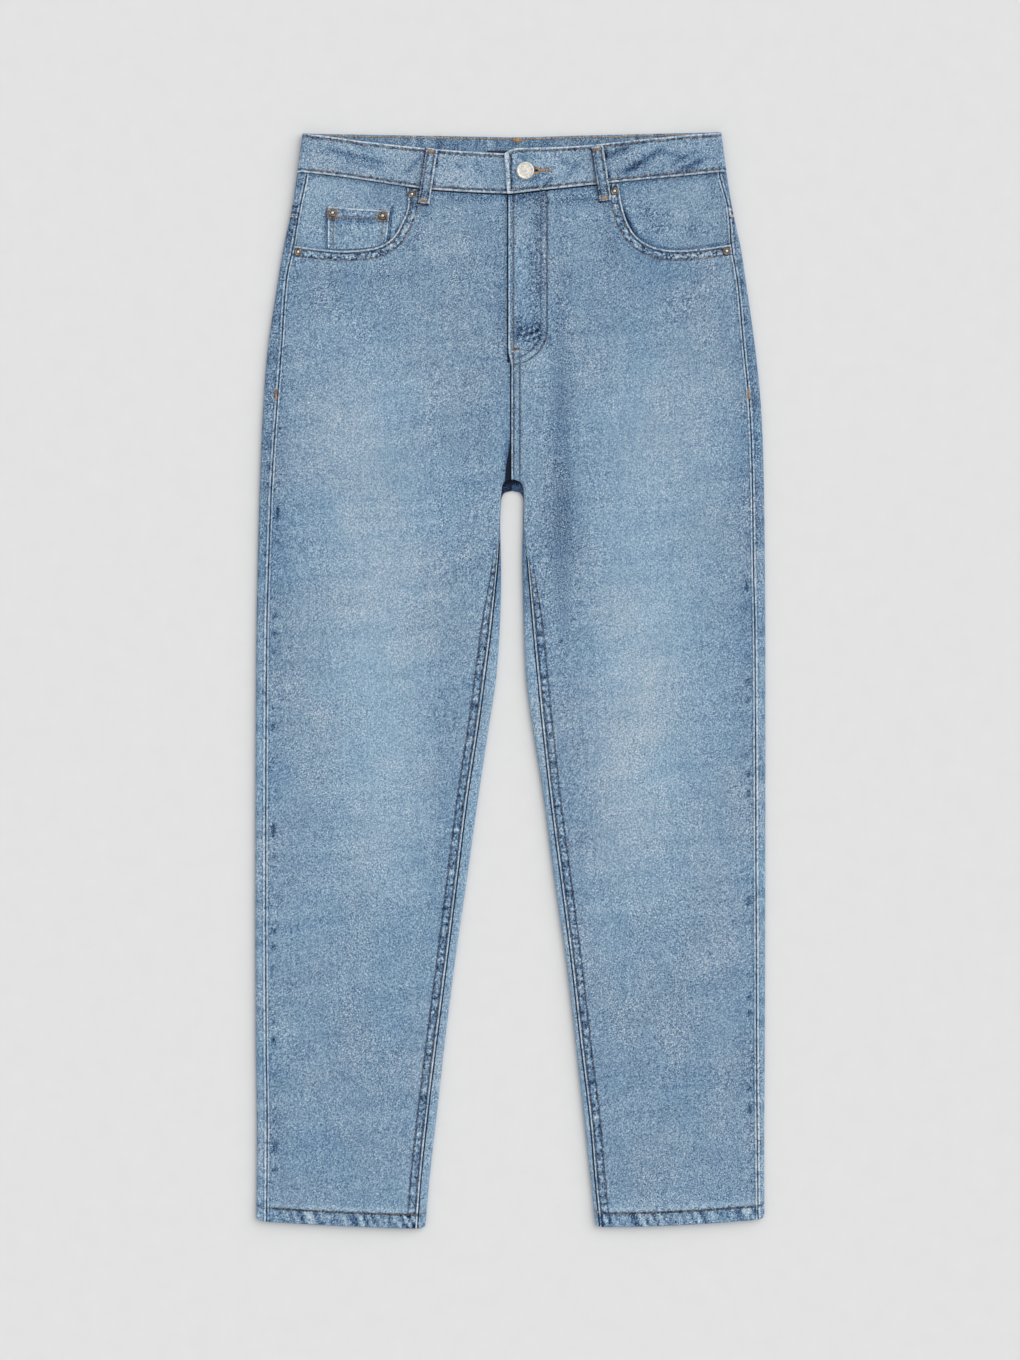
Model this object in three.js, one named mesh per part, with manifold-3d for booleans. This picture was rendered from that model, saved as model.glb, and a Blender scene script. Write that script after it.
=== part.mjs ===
// Mom jeans laid flat on their back: panels, yokes, waistband, pockets, belt loops, button and rivets,
// each a solid of its own. Millimetres, +Z up, waist towards +Y, underside on z = 0, and the middle of
// the length on y = 0. Right and left are the wearer's: the right leg lies on the -X side.
// Most places are given as xi, the distance from the centre line towards that side, so x = side * xi.
import * as THREE from "three";
import { mergeVertices } from "three/addons/utils/BufferGeometryUtils.js";
import Module from "manifold-3d";

const { clamp, lerp, smoothstep } = THREE.MathUtils;

// Driving sizes
const GAP = 0.3; // between pieces
const SEAM_HALF = 0.2; // from a seam's line to each panel, along the cloth
const CLOTH = 1.1; // one layer of denim
const BAND_WALL = 2.4; // the waistband's two layers
const FLY_WALL = 2.4; // left front and its fly facing
const HEM_WALL = 2.5; // the double-turned hem, pressed
const LOOP_WALL = 1.6; // a folded belt loop
const LABEL_WALL = 0.8;
const FOLD_R = 2.6; // where the cloth turns over at the outline
const WAIST_FOLD_R = 2.4;
const HEM_FOLD_R = 3.1;
const BAND_FOLD_R = 3.15;
const LOFT = 0.5; // how much the top layer rises inside its folded edges
const LOFT_REACH = 30;
const BAND_LIFT = LOOP_WALL + GAP; // the waist rests on its back belt loops
const BAND_HEIGHT = 38;
const LOOP_WIDTH = 12;
const HEM_Y = -519; // nominal hem edge
const HEM_TOP = -504; // nominal top of the turned hem
const POCKET_ROW = 397; // first straight row below the front pockets
const CROTCH_FRONT = { top: 190, bottom: 176 }; // the fronts part below the rise seam and turn under
const CROTCH_BACK = { top: 179.5, bottom: 167 }; // the backs part at the top of the gap between the legs
const RISE_X = 0.8; // the rise seam below the fly
const FLY_EDGE_X = -2; // the left front's lapping edge
const UNDERLAP_X = 8; // the right front's edge under the fly
const FLY_BOTTOM = 300;
const FLY_WIDTH = 34;
const FLY_FADE = 12;
const FLY_LIFT = 1.6;
const UNDERLAP_DIP = 1.2;
const FACING_DIP = CLOTH + 1.5 * GAP; // the facing lies this far under the front's outer face
const FACING_UNDERLAP = 12; // how far it reaches under the front
const BACK_POCKET_LIFT = CLOTH + GAP;
const TAB_BASE = 2 * BAND_FOLD_R + BAND_LIFT; // outer face of the band's front

const SIDES = { right: -1, left: 1 };
const DENIM = 0x7e9cb6;
const DARK_DENIM = 0x6b89a5;

// A table of sizes with named columns, read between its rows along a smooth curve
function table(columns, rows) {
  const index = Object.fromEntries(columns.map((name, i) => [name, i]));
  const key = rows.map((row) => row[0]);
  const rising = key[1] > key[0] ? 1 : -1;
  return (at, column) => {
    const c = index[column];
    const last = rows.length - 1;
    if ((at - key[0]) * rising <= 0) return rows[0][c];
    if ((at - key[last]) * rising >= 0) return rows[last][c];
    let i = 0;
    while ((at - key[i + 1]) * rising > 0) i += 1;
    const slope = (a, b) => (rows[b][c] - rows[a][c]) / (key[b] - key[a]);
    const step = key[i + 1] - key[i];
    const startSlope = slope(Math.max(i - 1, 0), i + 1) * step;
    const endSlope = slope(i, Math.min(i + 2, last)) * step;
    const t = (at - key[i]) / step;
    const [p, q] = [rows[i][c], rows[i + 1][c]];
    return (
      p * (2 * t ** 3 - 3 * t ** 2 + 1) +
      startSlope * (t ** 3 - 2 * t ** 2 + t) +
      q * (3 * t ** 2 - 2 * t ** 3) +
      endSlope * (t ** 3 - t ** 2)
    );
  };
}

// Outline and side seam, from the waist to the hem: distances from the centre line
const outline = table(
  ["y", "rightEdge", "rightSeam", "leftSeam", "leftEdge"],
  [
    [520, 197.5, 189, 195, 200],
    [482, 202.5, 192.5, 197.5, 205],
    [448, 207.5, 199.5, 206, 210.5],
    [411, 215.5, 206, 209.5, 218.5],
    [378, 221, 212.5, 215, 223.5],
    [314, 230.5, 217, 221, 232.5],
    [257, 235, 221.5, 226.5, 238],
    [190, 238, 226, 229, 240.5],
    [114, 240, 229, 230, 241.5],
    [38, 241.5, 231, 231.5, 242],
    [-190, 242.5, 232, 232.5, 242],
    [-342, 242, 231.5, 233, 241.5],
    [-418, 241, 230.5, 233.5, 241],
    [-520, 241.5, 231, 234.5, 241],
  ],
);

// Inner edge and inseam of each leg, from the crotch to the hem: distances from the centre line
const inside = table(
  ["y", "rightEdge", "rightSeam", "leftSeam", "leftEdge"],
  [
    [178, 8.5, 8.6, 12.4, 12.3],
    [152, 9.8, 10.2, 12.4, 11.8],
    [114, 9, 12.2, 16.2, 11],
    [76, 9.2, 15.8, 19.5, 11.8],
    [38, 10.8, 20, 22.7, 12.8],
    [0, 13.8, 25, 26.3, 14.8],
    [-38, 19.5, 30, 30, 19.6],
    [-114, 31, 41.5, 38.4, 31.6],
    [-190, 41.5, 51, 48.2, 41.5],
    [-266, 52.5, 60.5, 58, 52.5],
    [-342, 62, 70.3, 66.6, 61.4],
    [-418, 70.6, 79.6, 75.8, 69.8],
    [-475, 77, 85.6, 80.6, 76],
    [-520, 81, 88.8, 85.2, 81],
  ],
);

// The hem's edge across a leg
const hemLine = table(
  ["xi", "right", "left"],
  [
    [79, -517.5, -516],
    [86, -520.3, -518.8],
    [150, -518.6, -517.8],
    [225, -514.4, -513],
    [237, -513, -511.3],
    [242, -510, -508.5],
  ],
);

// Edges of the waistband: its right front with the underlap, its left front with the tab, its back
const bandRight = table(
  ["x", "top", "bottom"],
  [
    [-199, 519, 482],
    [-175, 516.2, 479.6],
    [-138, 511, 474.5],
    [-87, 505.4, 466.8],
    [-54, 502.6, 464],
    [-6, 499.7, 461.8],
    [8, 499.4, 462.8],
    [30, 499, 465.4],
  ],
);
const bandLeft = table(
  ["x", "top", "bottom"],
  [
    [-6, 499.4, 461.2],
    [0, 503.2, 461.4],
    [8, 504.6, 462.2],
    [38, 505.4, 465.8],
    [75, 507.8, 469.8],
    [124, 513, 474.8],
    [174, 517.8, 479.6],
    [200, 519.6, 482.4],
  ],
);
const bandBack = table(
  ["x", "top"],
  [
    [-199, 519],
    [-30, 516],
    [6, 515.4],
    [72, 517.2],
    [200, 520.3],
  ],
);

// The front pockets' scooped openings, from the waistband round to the side seam
const POCKET_COLUMNS = { right: [0, 1], left: [2, 3] }; // xi and y of each side
const POCKET_OPENING = [
  [98.3, 467.6, 102, 471.5],
  [97.4, 449.5, 106.5, 447],
  [104, 432.4, 113.5, 429],
  [112.6, 419.1, 124, 417.2],
  [127.8, 410.6, 141, 409.6],
  [155.3, 407.4, 161, 407.8],
  [178, 408.8, 185, 410],
  [205.6, 412.1, 209.2, 413.4],
];

// Soft folds of the top layer: a line from (x1, y1) to (x2, y2), its half width and its height
const FOLDS = [
  { x1: 48, y1: 390, x2: 50, y2: -10, width: 16, height: -0.9 },
  { x1: 70, y1: 380, x2: 78, y2: 60, width: 18, height: 0.35 },
  { x1: -60, y1: 330, x2: -48, y2: 60, width: 20, height: -0.6 },
  { x1: -190, y1: 380, x2: -120, y2: 320, width: 14, height: -0.5 },
  { x1: 190, y1: 385, x2: 130, y2: 330, width: 14, height: -0.5 },
  { x1: -160, y1: 40, x2: -120, y2: -420, width: 30, height: 0.35 },
  { x1: 150, y1: 20, x2: 130, y2: -400, width: 30, height: 0.35 },
];

function foldHeight(x, y) {
  let height = 0;
  for (const fold of FOLDS) {
    const [dx, dy] = [fold.x2 - fold.x1, fold.y2 - fold.y1];
    const along = clamp(((x - fold.x1) * dx + (y - fold.y1) * dy) / (dx * dx + dy * dy), 0, 1);
    const away = Math.hypot(x - fold.x1 - along * dx, y - fold.y1 - along * dy);
    const fade = smoothstep(along, 0, 0.2) * (1 - smoothstep(along, 0.75, 1));
    height += fold.height * fade * Math.exp(-((away / fold.width) ** 2));
  }
  return height;
}

// Height of the underside: the waist is lifted by the back belt loops
const floorZ = (y) => BAND_LIFT * smoothstep(y, 412, 460);

function foldRadius(y) {
  const waist = (WAIST_FOLD_R - FOLD_R) * smoothstep(y, 410, 470);
  const hem = (HEM_FOLD_R - FOLD_R) * (1 - smoothstep(y, HEM_TOP, HEM_TOP + 14));
  return FOLD_R + waist + hem;
}

const clothWall = (y) => lerp(HEM_WALL, CLOTH, smoothstep(y, HEM_TOP - 1, HEM_TOP + 1));
const outerEdge = (side, y) => outline(y, `${side}Edge`);
const sideSeam = (side, y) => outline(y, `${side}Seam`);
const innerEdge = (side, y) => inside(y, `${side}Edge`);
const inseam = (side, y) => inside(y, `${side}Seam`);

// Rows are level, except near the hem, where they follow its edge
function levelOf(side, xi, y) {
  const shift = hemLine(xi, side) - HEM_Y;
  return y + shift * (1 - smoothstep(y, -480, -400));
}

// Outer face of the top layer, before the fly and the pockets change it
function topZ(side, xi, y) {
  const radius = foldRadius(y);
  const fromOutside = outerEdge(side, y) - xi - radius;
  const fromInside = y < CROTCH_FRONT.bottom ? xi - innerEdge(side, y) - radius : LOFT_REACH;
  const inward = smoothstep(Math.min(fromOutside, fromInside), 0, LOFT_REACH);
  return floorZ(y) + 2 * radius + inward * (LOFT + foldHeight(SIDES[side] * xi, y));
}

// The back pockets lie on the floor and the back panel is lifted over them
const BACK_POCKET = { top: 382, corner: 238, tip: 220, centre: 95, halfTop: 70, halfBottom: 62 };
function underZ(xi, y) {
  const { top, tip, centre, halfTop } = BACK_POCKET;
  const across = 1 - smoothstep(Math.abs(xi - centre), halfTop + 1.5, halfTop + 9);
  const along = smoothstep(y, tip - 14, tip - 5) * (1 - smoothstep(y, top + 5, top + 14));
  return floorZ(y) + BACK_POCKET_LIFT * across * along;
}

// Length along the cloth from the very edge of a fold to a place seen `inward` of it
function pathTo(inward, radius) {
  if (inward >= radius) return (radius * Math.PI) / 2 + inward - radius;
  return radius * Math.acos(1 - inward / radius);
}

// A point `path` along the cloth from the very edge of a fold: above it if positive, below if negative.
// `edge` is the fold's xi and `inward` the direction of xi that leads into the leg.
function foldPoint(side, y, path, edge, inward) {
  const radius = foldRadius(y);
  const wall = clothWall(y);
  const quarter = (radius * Math.PI) / 2;
  if (Math.abs(path) <= quarter) {
    const angle = path / radius;
    const centre = floorZ(y) + radius;
    const reach = (r) => edge + inward * (radius - r * Math.cos(angle));
    return {
      outer: [reach(radius), centre + radius * Math.sin(angle)],
      inner: [reach(radius - wall), centre + (radius - wall) * Math.sin(angle)],
    };
  }
  const xi = edge + inward * (radius + Math.abs(path) - quarter);
  return path > 0 ? topPoint(side, xi, y) : underPoint(xi, y);
}

function topPoint(side, xi, y) {
  const z = topZ(side, xi, y);
  return { outer: [xi, z], inner: [xi, z - clothWall(y)] };
}

function underPoint(xi, y) {
  const z = underZ(xi, y);
  return { outer: [xi, z], inner: [xi, z + clothWall(y)] };
}

function blendPoints(a, b, share) {
  const mixed = (face) => a[face].map((value, i) => lerp(value, b[face][i], share));
  return { outer: mixed("outer"), inner: mixed("inner") };
}

// How far a crotch edge has parted, as a quarter of an ellipse
function parted({ top, bottom }, y) {
  const share = clamp((y - bottom) / (top - bottom), 0, 1);
  return Math.sqrt(1 - share * share);
}

// Front panels. Columns run from the centre to the side seam; the first few turn round the inseam's fold.
const FLY_STOPS = { right: [-UNDERLAP_X, 3, 10, 20, 46], left: [FLY_EDGE_X, 9, 20, FLY_WIDTH, FLY_WIDTH + FLY_FADE] };
const FRONT_FOLD_CELLS = 4;
const FRONT_FLAT_CELLS = 9;
const FRONT_FOLD_REACH = 20;
const POCKET_ROWS = 4;
const BAND_CELLS_TO_POCKET = 6;

// Where a front panel's centre edge lies: lapped at the fly, then meeting at the rise seam
function centreEdge(side, y) {
  const lapped = FLY_STOPS[side][0];
  const met = SIDES[side] * RISE_X + GAP / 2;
  return lerp(met, lapped, smoothstep(y, FLY_BOTTOM, FLY_BOTTOM + 12));
}

// The fly's facing is straight down to its J curve, which turns to the rise seam as a quarter circle
function flyShare(x, y) {
  const below = FLY_BOTTOM + FLY_WIDTH - y;
  const outside = below > 0 ? Math.hypot(Math.max(x, 0), below) - FLY_WIDTH : x - FLY_WIDTH;
  return 1 - smoothstep(outside, 0.5, FLY_FADE);
}

function shapeFly(side, point, y) {
  const xi = point.outer[0];
  if (side === "left") {
    const share = flyShare(xi, y);
    point.outer[1] += FLY_LIFT * share;
    point.inner[1] += (FLY_LIFT - (FLY_WALL - CLOTH)) * share;
  } else {
    const dip = UNDERLAP_DIP * (1 - smoothstep(xi, 3, 10)) * smoothstep(y, FLY_BOTTOM - 4, FLY_BOTTOM);
    point.outer[1] -= dip;
    point.inner[1] -= dip;
  }
  return point;
}

function frontColumn(side, y, column) {
  const seam = sideSeam(side, y) - SEAM_HALF;
  const start = centreEdge(side, y);
  const radius = foldRadius(y);
  const edge = innerEdge(side, y);
  const first = pathTo(inseam(side, y) - edge, radius) + SEAM_HALF;
  const last = pathTo(FRONT_FOLD_REACH, radius);
  const share = Math.min(column / FRONT_FOLD_CELLS, 1);
  const rest = Math.max(column - FRONT_FOLD_CELLS, 0) / FRONT_FLAT_CELLS;
  const flatStops = [start, ...FLY_STOPS[side].slice(1)];
  const flatXi = lerp(flatStops[Math.min(column, FRONT_FOLD_CELLS)], seam, rest);
  const flat = topPoint(side, flatXi, y);
  const reach = edge + FRONT_FOLD_REACH;
  const folded =
    column <= FRONT_FOLD_CELLS
      ? foldPoint(side, y, lerp(first, last, share), edge, 1)
      : topPoint(side, lerp(reach, seam, rest), y);
  const turned = parted(CROTCH_FRONT, y);
  return shapeFly(side, blendPoints(flat, folded, turned), y);
}

// The top of a front panel: along the waistband, then down the pocket's scoop to the side seam
function frontTop(side, column) {
  if (column < BAND_CELLS_TO_POCKET) {
    const stops = [...FLY_STOPS[side], 72];
    const xi = stops[column];
    const band = side === "left" ? bandLeft : bandRight;
    return [xi, band(SIDES[side] * xi, "bottom") - GAP];
  }
  const [xiColumn, yColumn] = POCKET_COLUMNS[side];
  const row = POCKET_OPENING[column - BAND_CELLS_TO_POCKET];
  const last = column - BAND_CELLS_TO_POCKET === POCKET_OPENING.length - 1;
  const band = side === "left" ? bandLeft : bandRight;
  const onBand = band(SIDES[side] * row[xiColumn], "bottom") - GAP;
  const y = column === BAND_CELLS_TO_POCKET ? onBand : row[yColumn];
  return [last ? sideSeam(side, row[yColumn]) - SEAM_HALF : row[xiColumn], y];
}

const LEG_ROWS = [
  387, 370, 345, 326, 312, 300, 288, 260, 225, 215, 206, 196, 190, 189, 187, 184, 180, 179, 177.5, 175, 171, 167,
  155, 135, 114, 76, 38, 0,
  -38, -90, -145, -200, -255, -310, -365, -420, -465, -490, HEM_TOP + 1, HEM_TOP - 1, HEM_Y,
];

function point3(side, point, face, y) {
  const [xi, z] = point[face];
  return new THREE.Vector3(SIDES[side] * xi, y, z);
}

function frontPanel(side) {
  const columns = FRONT_FOLD_CELLS + FRONT_FLAT_CELLS;
  const outer = [];
  const inner = [];
  const addRow = (place) => {
    const points = [];
    for (let column = 0; column <= columns; column += 1) points.push(place(column));
    outer.push(points.map(([point, y]) => point3(side, point, "outer", y)));
    inner.push(points.map(([point, y]) => point3(side, point, "inner", y)));
  };
  for (let row = 0; row <= POCKET_ROWS; row += 1) {
    addRow((column) => {
      const [topXi, topY] = frontTop(side, column);
      const below = frontColumn(side, POCKET_ROW, column).outer[0];
      const share = row / POCKET_ROWS;
      const xi = lerp(topXi, below, share);
      const y = lerp(topY, POCKET_ROW, share);
      const onSeam = column === columns ? sideSeam(side, y) - SEAM_HALF : xi;
      return [shapeFly(side, topPoint(side, onSeam, y), y), y];
    });
  }
  for (const row of LEG_ROWS) {
    addRow((column) => {
      const point = frontColumn(side, row, column);
      return [point, levelOf(side, point.outer[0], row)];
    });
  }
  return wallGeometry(outer, inner);
}

// Back panels and yokes. Columns run from the side seam, over the outer fold, across the underside and,
// on a leg, up round the inner fold to the inseam.
const BACK_FOLD_CELLS = 6;
const BACK_INNER_CELLS = 5;
const BACK_SEAT_STRIP = 7;
const SEAT_STOPS = [177, 167, 95, 23, 14.5]; // beside and under the back pocket, from the outside in
const SEAT_TOP_X = 6;
const SEAT_LOW_X = 1.4;

function seatEdge(side, y) {
  const up = (y - CROTCH_BACK.top) / (YOKE_SIDE_Y - CROTCH_BACK.top);
  const seam = lerp(SEAT_LOW_X, SEAT_TOP_X, clamp(up, 0, 1));
  return SIDES[side] * seam + GAP / 2;
}

function backColumn(side, y, column) {
  const edge = outerEdge(side, y);
  const radius = foldRadius(y);
  const quarter = (radius * Math.PI) / 2;
  const flatCells = SEAT_STOPS.length + 1;
  const turned = parted(CROTCH_BACK, y);
  if (column <= BACK_FOLD_CELLS) {
    const start = pathTo(edge - sideSeam(side, y), radius) - SEAM_HALF;
    return foldPoint(side, y, lerp(start, -quarter, column / BACK_FOLD_CELLS), edge, -1);
  }
  const seat = seatEdge(side, y);
  const inner = innerEdge(side, y);
  if (column < BACK_FOLD_CELLS + flatCells) {
    const stop = SEAT_STOPS[column - BACK_FOLD_CELLS - 1];
    const [widest, narrowest] = [edge - radius, inner + radius];
    const share = (stop - BACK_SEAT_STRIP) / (225 - BACK_SEAT_STRIP);
    return underPoint(lerp(stop, lerp(narrowest, widest, share), turned), y);
  }
  const share = (column - BACK_FOLD_CELLS - flatCells) / BACK_INNER_CELLS;
  const flat = underPoint(lerp(seat + BACK_SEAT_STRIP, seat, share), y);
  const end = pathTo(inseam(side, y) - inner, radius) - SEAM_HALF;
  return blendPoints(flat, foldPoint(side, y, lerp(-quarter, end, share), inner, 1), turned);
}

const BACK_COLUMNS = BACK_FOLD_CELLS + SEAT_STOPS.length + 1 + BACK_INNER_CELLS;
const YOKE_CENTRE_Y = 404;
const YOKE_SIDE_Y = 441;
const yokeSeam = (xi) => lerp(YOKE_CENTRE_Y, YOKE_SIDE_Y, clamp(xi / 205, 0, 1) ** 1.2);

// The waistband's lower edge above a back column, which lies partly on the front
function bandAbove(side, xi, column) {
  const x = SIDES[side] * xi;
  const front = side === "left" ? bandLeft(x, "bottom") : bandRight(x, "bottom");
  const back = bandBack(x, "top") - BAND_HEIGHT;
  return lerp(front, back, clamp(column / BACK_FOLD_CELLS, 0, 1));
}

function backRows(side, heights) {
  const outer = [];
  const inner = [];
  for (const height of heights) {
    const points = [];
    for (let column = 0; column <= BACK_COLUMNS; column += 1) {
      const near = backColumn(side, height(210, column), column).outer[0];
      const y = height(near, column);
      points.push([backColumn(side, y, column), y]);
    }
    outer.push(points.map(([point, y]) => point3(side, point, "outer", y)));
    inner.push(points.map(([point, y]) => point3(side, point, "inner", y)));
  }
  return wallGeometry(outer, inner);
}

function backPanel(side) {
  const top = (xi) => yokeSeam(xi) - GAP / 2;
  const heights = [0, 0.5].map((share) => (xi) => lerp(top(xi), POCKET_ROW, share));
  heights.push(() => POCKET_ROW);
  return backRows(side, [...heights, ...LEG_ROWS.map((row) => (xi) => levelOf(side, xi, row))]);
}

function yoke(side) {
  const low = (xi) => yokeSeam(xi) + GAP / 2;
  const high = (xi, column) => bandAbove(side, xi, column) - 1.5 * GAP;
  const shares = [0, 0.35, 0.7, 1];
  return backRows(
    side,
    shares.map((share) => (xi, column) => lerp(high(xi, column), low(xi), share)),
  );
}

// The waistband: columns run from the tab's end over the left fold, the back and the right fold
// to the underlap, which ends under the tab.
const TAB_END = { top: -6.2, bottom: -3.4 };
const UNDERLAP_END = 25;
const TAB_LIFT = BAND_WALL + GAP;
const TAB_RAMP = 30;
const BAND_ROWS = 3;
const BAND_FOLD_CELLS = 6;

const tabLift = (x) => TAB_LIFT * (1 - smoothstep(x, UNDERLAP_END + 2, UNDERLAP_END + 2 + TAB_RAMP));

function bandColumns() {
  const columns = [];
  const front = (side, x) => columns.push({ kind: "front", side, x });
  for (const x of [-5, 1, 9, 20, UNDERLAP_END, 34, 46, 57, 72, 102, 140, 172]) front("left", x);
  for (let i = 0; i <= BAND_FOLD_CELLS; i += 1) {
    columns.push({ kind: "fold", side: "left", angle: Math.PI * (0.5 - i / BAND_FOLD_CELLS) });
  }
  for (const x of [150, 100, 50, 6, -50, -100, -150]) columns.push({ kind: "back", x });
  for (let i = BAND_FOLD_CELLS; i >= 0; i -= 1) {
    columns.push({ kind: "fold", side: "right", angle: Math.PI * (0.5 - i / BAND_FOLD_CELLS) });
  }
  for (const x of [-172, -138, -98.3, -72, -46, -20, -8, UNDERLAP_END]) front("right", x);
  return columns;
}

function bandPoint(column, share) {
  const { kind, side, x } = column;
  if (kind === "fold") {
    const high = outerEdge(side, 520);
    const low = outerEdge(side, 482);
    const edge = SIDES[side] * lerp(low, high, share);
    const inset = (r) => edge - SIDES[side] * (BAND_FOLD_R - r * Math.cos(column.angle));
    const centre = BAND_LIFT + BAND_FOLD_R;
    const z = (r) => centre + r * Math.sin(column.angle);
    const frontEdges = side === "left" ? bandLeft : bandRight;
    const backShare = 0.5 - column.angle / Math.PI;
    const backTop = bandBack(edge, "top");
    const bottom = lerp(frontEdges(edge, "bottom"), backTop - BAND_HEIGHT, backShare);
    const y = lerp(bottom, lerp(frontEdges(edge, "top"), backTop, backShare), share);
    const thin = BAND_FOLD_R - BAND_WALL;
    return [new THREE.Vector3(inset(BAND_FOLD_R), y, z(BAND_FOLD_R)), new THREE.Vector3(inset(thin), y, z(thin))];
  }
  if (kind === "back") {
    const top = bandBack(x, "top");
    const y = lerp(top - BAND_HEIGHT, top, share);
    return [new THREE.Vector3(x, y, BAND_LIFT), new THREE.Vector3(x, y, BAND_LIFT + BAND_WALL)];
  }
  const edges = side === "left" ? bandLeft : bandRight;
  const atTabEnd = side === "left" && x === -5;
  const lying = atTabEnd ? lerp(TAB_END.bottom, TAB_END.top, share) : x;
  const y = lerp(edges(lying, "bottom"), edges(lying, "top"), share);
  const z = TAB_BASE + (side === "left" ? tabLift(lying) : 0);
  return [new THREE.Vector3(lying, y, z), new THREE.Vector3(lying, y, z - BAND_WALL)];
}

const BUTTON = { x: 14, y: 483, radius: 8.5, capHeight: 3, shankRadius: 1.4 };
const BUTTONHOLE = { from: 14, to: 24.2, halfWidth: 1.8 };

function buttonholeCutter() {
  const { from, to, halfWidth } = BUTTONHOLE;
  const slot = new THREE.Shape();
  slot.absarc(from, BUTTON.y, halfWidth, Math.PI / 2, (3 * Math.PI) / 2, false);
  slot.absarc(to, BUTTON.y, halfWidth, -Math.PI / 2, Math.PI / 2, false);
  const cutter = new THREE.ExtrudeGeometry(slot, { depth: 8, bevelEnabled: false, curveSegments: 6 });
  return cutter.translate(0, 0, TAB_BASE + GAP / 2);
}

function waistband(wasm) {
  const outer = [];
  const inner = [];
  for (let row = 0; row <= BAND_ROWS; row += 1) {
    const points = bandColumns().map((column) => bandPoint(column, row / BAND_ROWS));
    outer.push(points.map(([face]) => face));
    inner.push(points.map(([, face]) => face));
  }
  const whole = solidOf(wasm, wallGeometry(outer, inner));
  return geometryOf(whole.subtract(solidOf(wasm, buttonholeCutter())));
}

// Pieces that lie on or under a panel: `place` gives x, y and the two heights at each share
function slab(across, along, place) {
  const outer = [];
  const inner = [];
  for (let row = 0; row <= along; row += 1) {
    const points = [];
    for (let column = 0; column <= across; column += 1) points.push(place(column / across, row / along));
    outer.push(points.map(({ x, y, high }) => new THREE.Vector3(x, y, high)));
    inner.push(points.map(({ x, y, low }) => new THREE.Vector3(x, y, low)));
  }
  return wallGeometry(outer, inner);
}

// Outer face of a pocket facing: level with the side seam beside the scoop, and dipped under the front
function facingZ(side, xi, y) {
  const openingEnd = POCKET_OPENING.at(-1)[POCKET_COLUMNS[side][1]];
  const fromSeam = smoothstep(sideSeam(side, y) - xi, 1, 12);
  const nearFront = 1 - smoothstep(y, openingEnd + 2, openingEnd + 14);
  return topZ(side, xi, y) - FACING_DIP * Math.max(fromSeam, nearFront);
}

function openingCurve(side) {
  const [xiColumn, yColumn] = POCKET_COLUMNS[side];
  const points = POCKET_OPENING.map((row) => new THREE.Vector3(row[xiColumn], row[yColumn], 0));
  return new THREE.CatmullRomCurve3(points, false, "catmullrom", 0.5);
}

// The facing runs from the waistband and the side seam to a hidden edge beside the opening, under the front
function pocketFacing(side) {
  const curve = openingCurve(side);
  const band = side === "left" ? bandLeft : bandRight;
  const innerXi = POCKET_OPENING[0][POCKET_COLUMNS[side][0]] - FACING_UNDERLAP;
  return slab(8, 6, (u, v) => {
    const opening = curve.getPoint(0.12 + 0.88 * u);
    const along = curve.getTangent(0.12 + 0.88 * u);
    const hiddenXi = opening.x + along.y * FACING_UNDERLAP;
    const hiddenY = opening.y - along.x * FACING_UNDERLAP;
    const topXi = lerp(innerXi, sideSeam(side, 481) - SEAM_HALF, u);
    const topY = band(SIDES[side] * topXi, "bottom") - 1.5 * GAP;
    const y = lerp(topY, hiddenY, v);
    const seam = sideSeam(side, y) - SEAM_HALF;
    const xi = u === 1 ? seam : Math.min(lerp(topXi, hiddenXi, v), seam - 2 * (1 - u));
    const high = facingZ(side, xi, y);
    return { x: SIDES[side] * xi, y, high, low: high - CLOTH };
  });
}

// The coin pocket lies on the right facing and ends at the pocket's opening
const COIN = { outer: 174, innerTop: 113.5, innerLow: 117, yOuter: 449.5, yInner: 445.2, wall: 1, rim: 1.6 };

function coinPocket() {
  const curve = openingCurve("right");
  const openingY = (xi) => {
    const steps = 40;
    let best = curve.getPoint(0);
    for (let i = 0; i <= steps; i += 1) {
      const at = curve.getPoint(0.3 + (0.65 * i) / steps);
      if (Math.abs(at.x - xi) < Math.abs(best.x - xi)) best = at;
    }
    return best.y;
  };
  return slab(5, 4, (u, v) => {
    const xi = lerp(lerp(COIN.innerTop, COIN.innerLow, v), COIN.outer, u);
    const top = lerp(COIN.yInner, COIN.yOuter, u);
    const y = lerp(top, openingY(lerp(COIN.innerLow, COIN.outer, u)) + COIN.rim, v);
    const low = facingZ("right", xi, y) + GAP;
    return { x: -xi, y, high: low + COIN.wall, low };
  });
}

function backPocket(side) {
  const { top, corner, tip, centre, halfTop, halfBottom } = BACK_POCKET;
  return slab(6, 4, (u, v) => {
    const half = lerp(halfTop, halfBottom, v);
    const xi = centre + half * (2 * u - 1);
    const bottom = lerp(tip, corner, Math.abs(2 * u - 1));
    return { x: SIDES[side] * xi, y: lerp(top, bottom, v), high: CLOTH, low: 0 };
  });
}

// Belt loops: middle of the upper and lower end
const FRONT_LOOPS = {
  right: { top: [-75, 504.4], bottom: [-83.2, 450.8] },
  left: { top: [81.8, 506.2], bottom: [89.8, 453.4] },
};
const BACK_LOOPS = {
  belt_loop_side_right: -128,
  belt_loop_back: 6.5,
  belt_loop_side_left: 134,
};
const LOOP_SLACK = 0.8;

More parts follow.
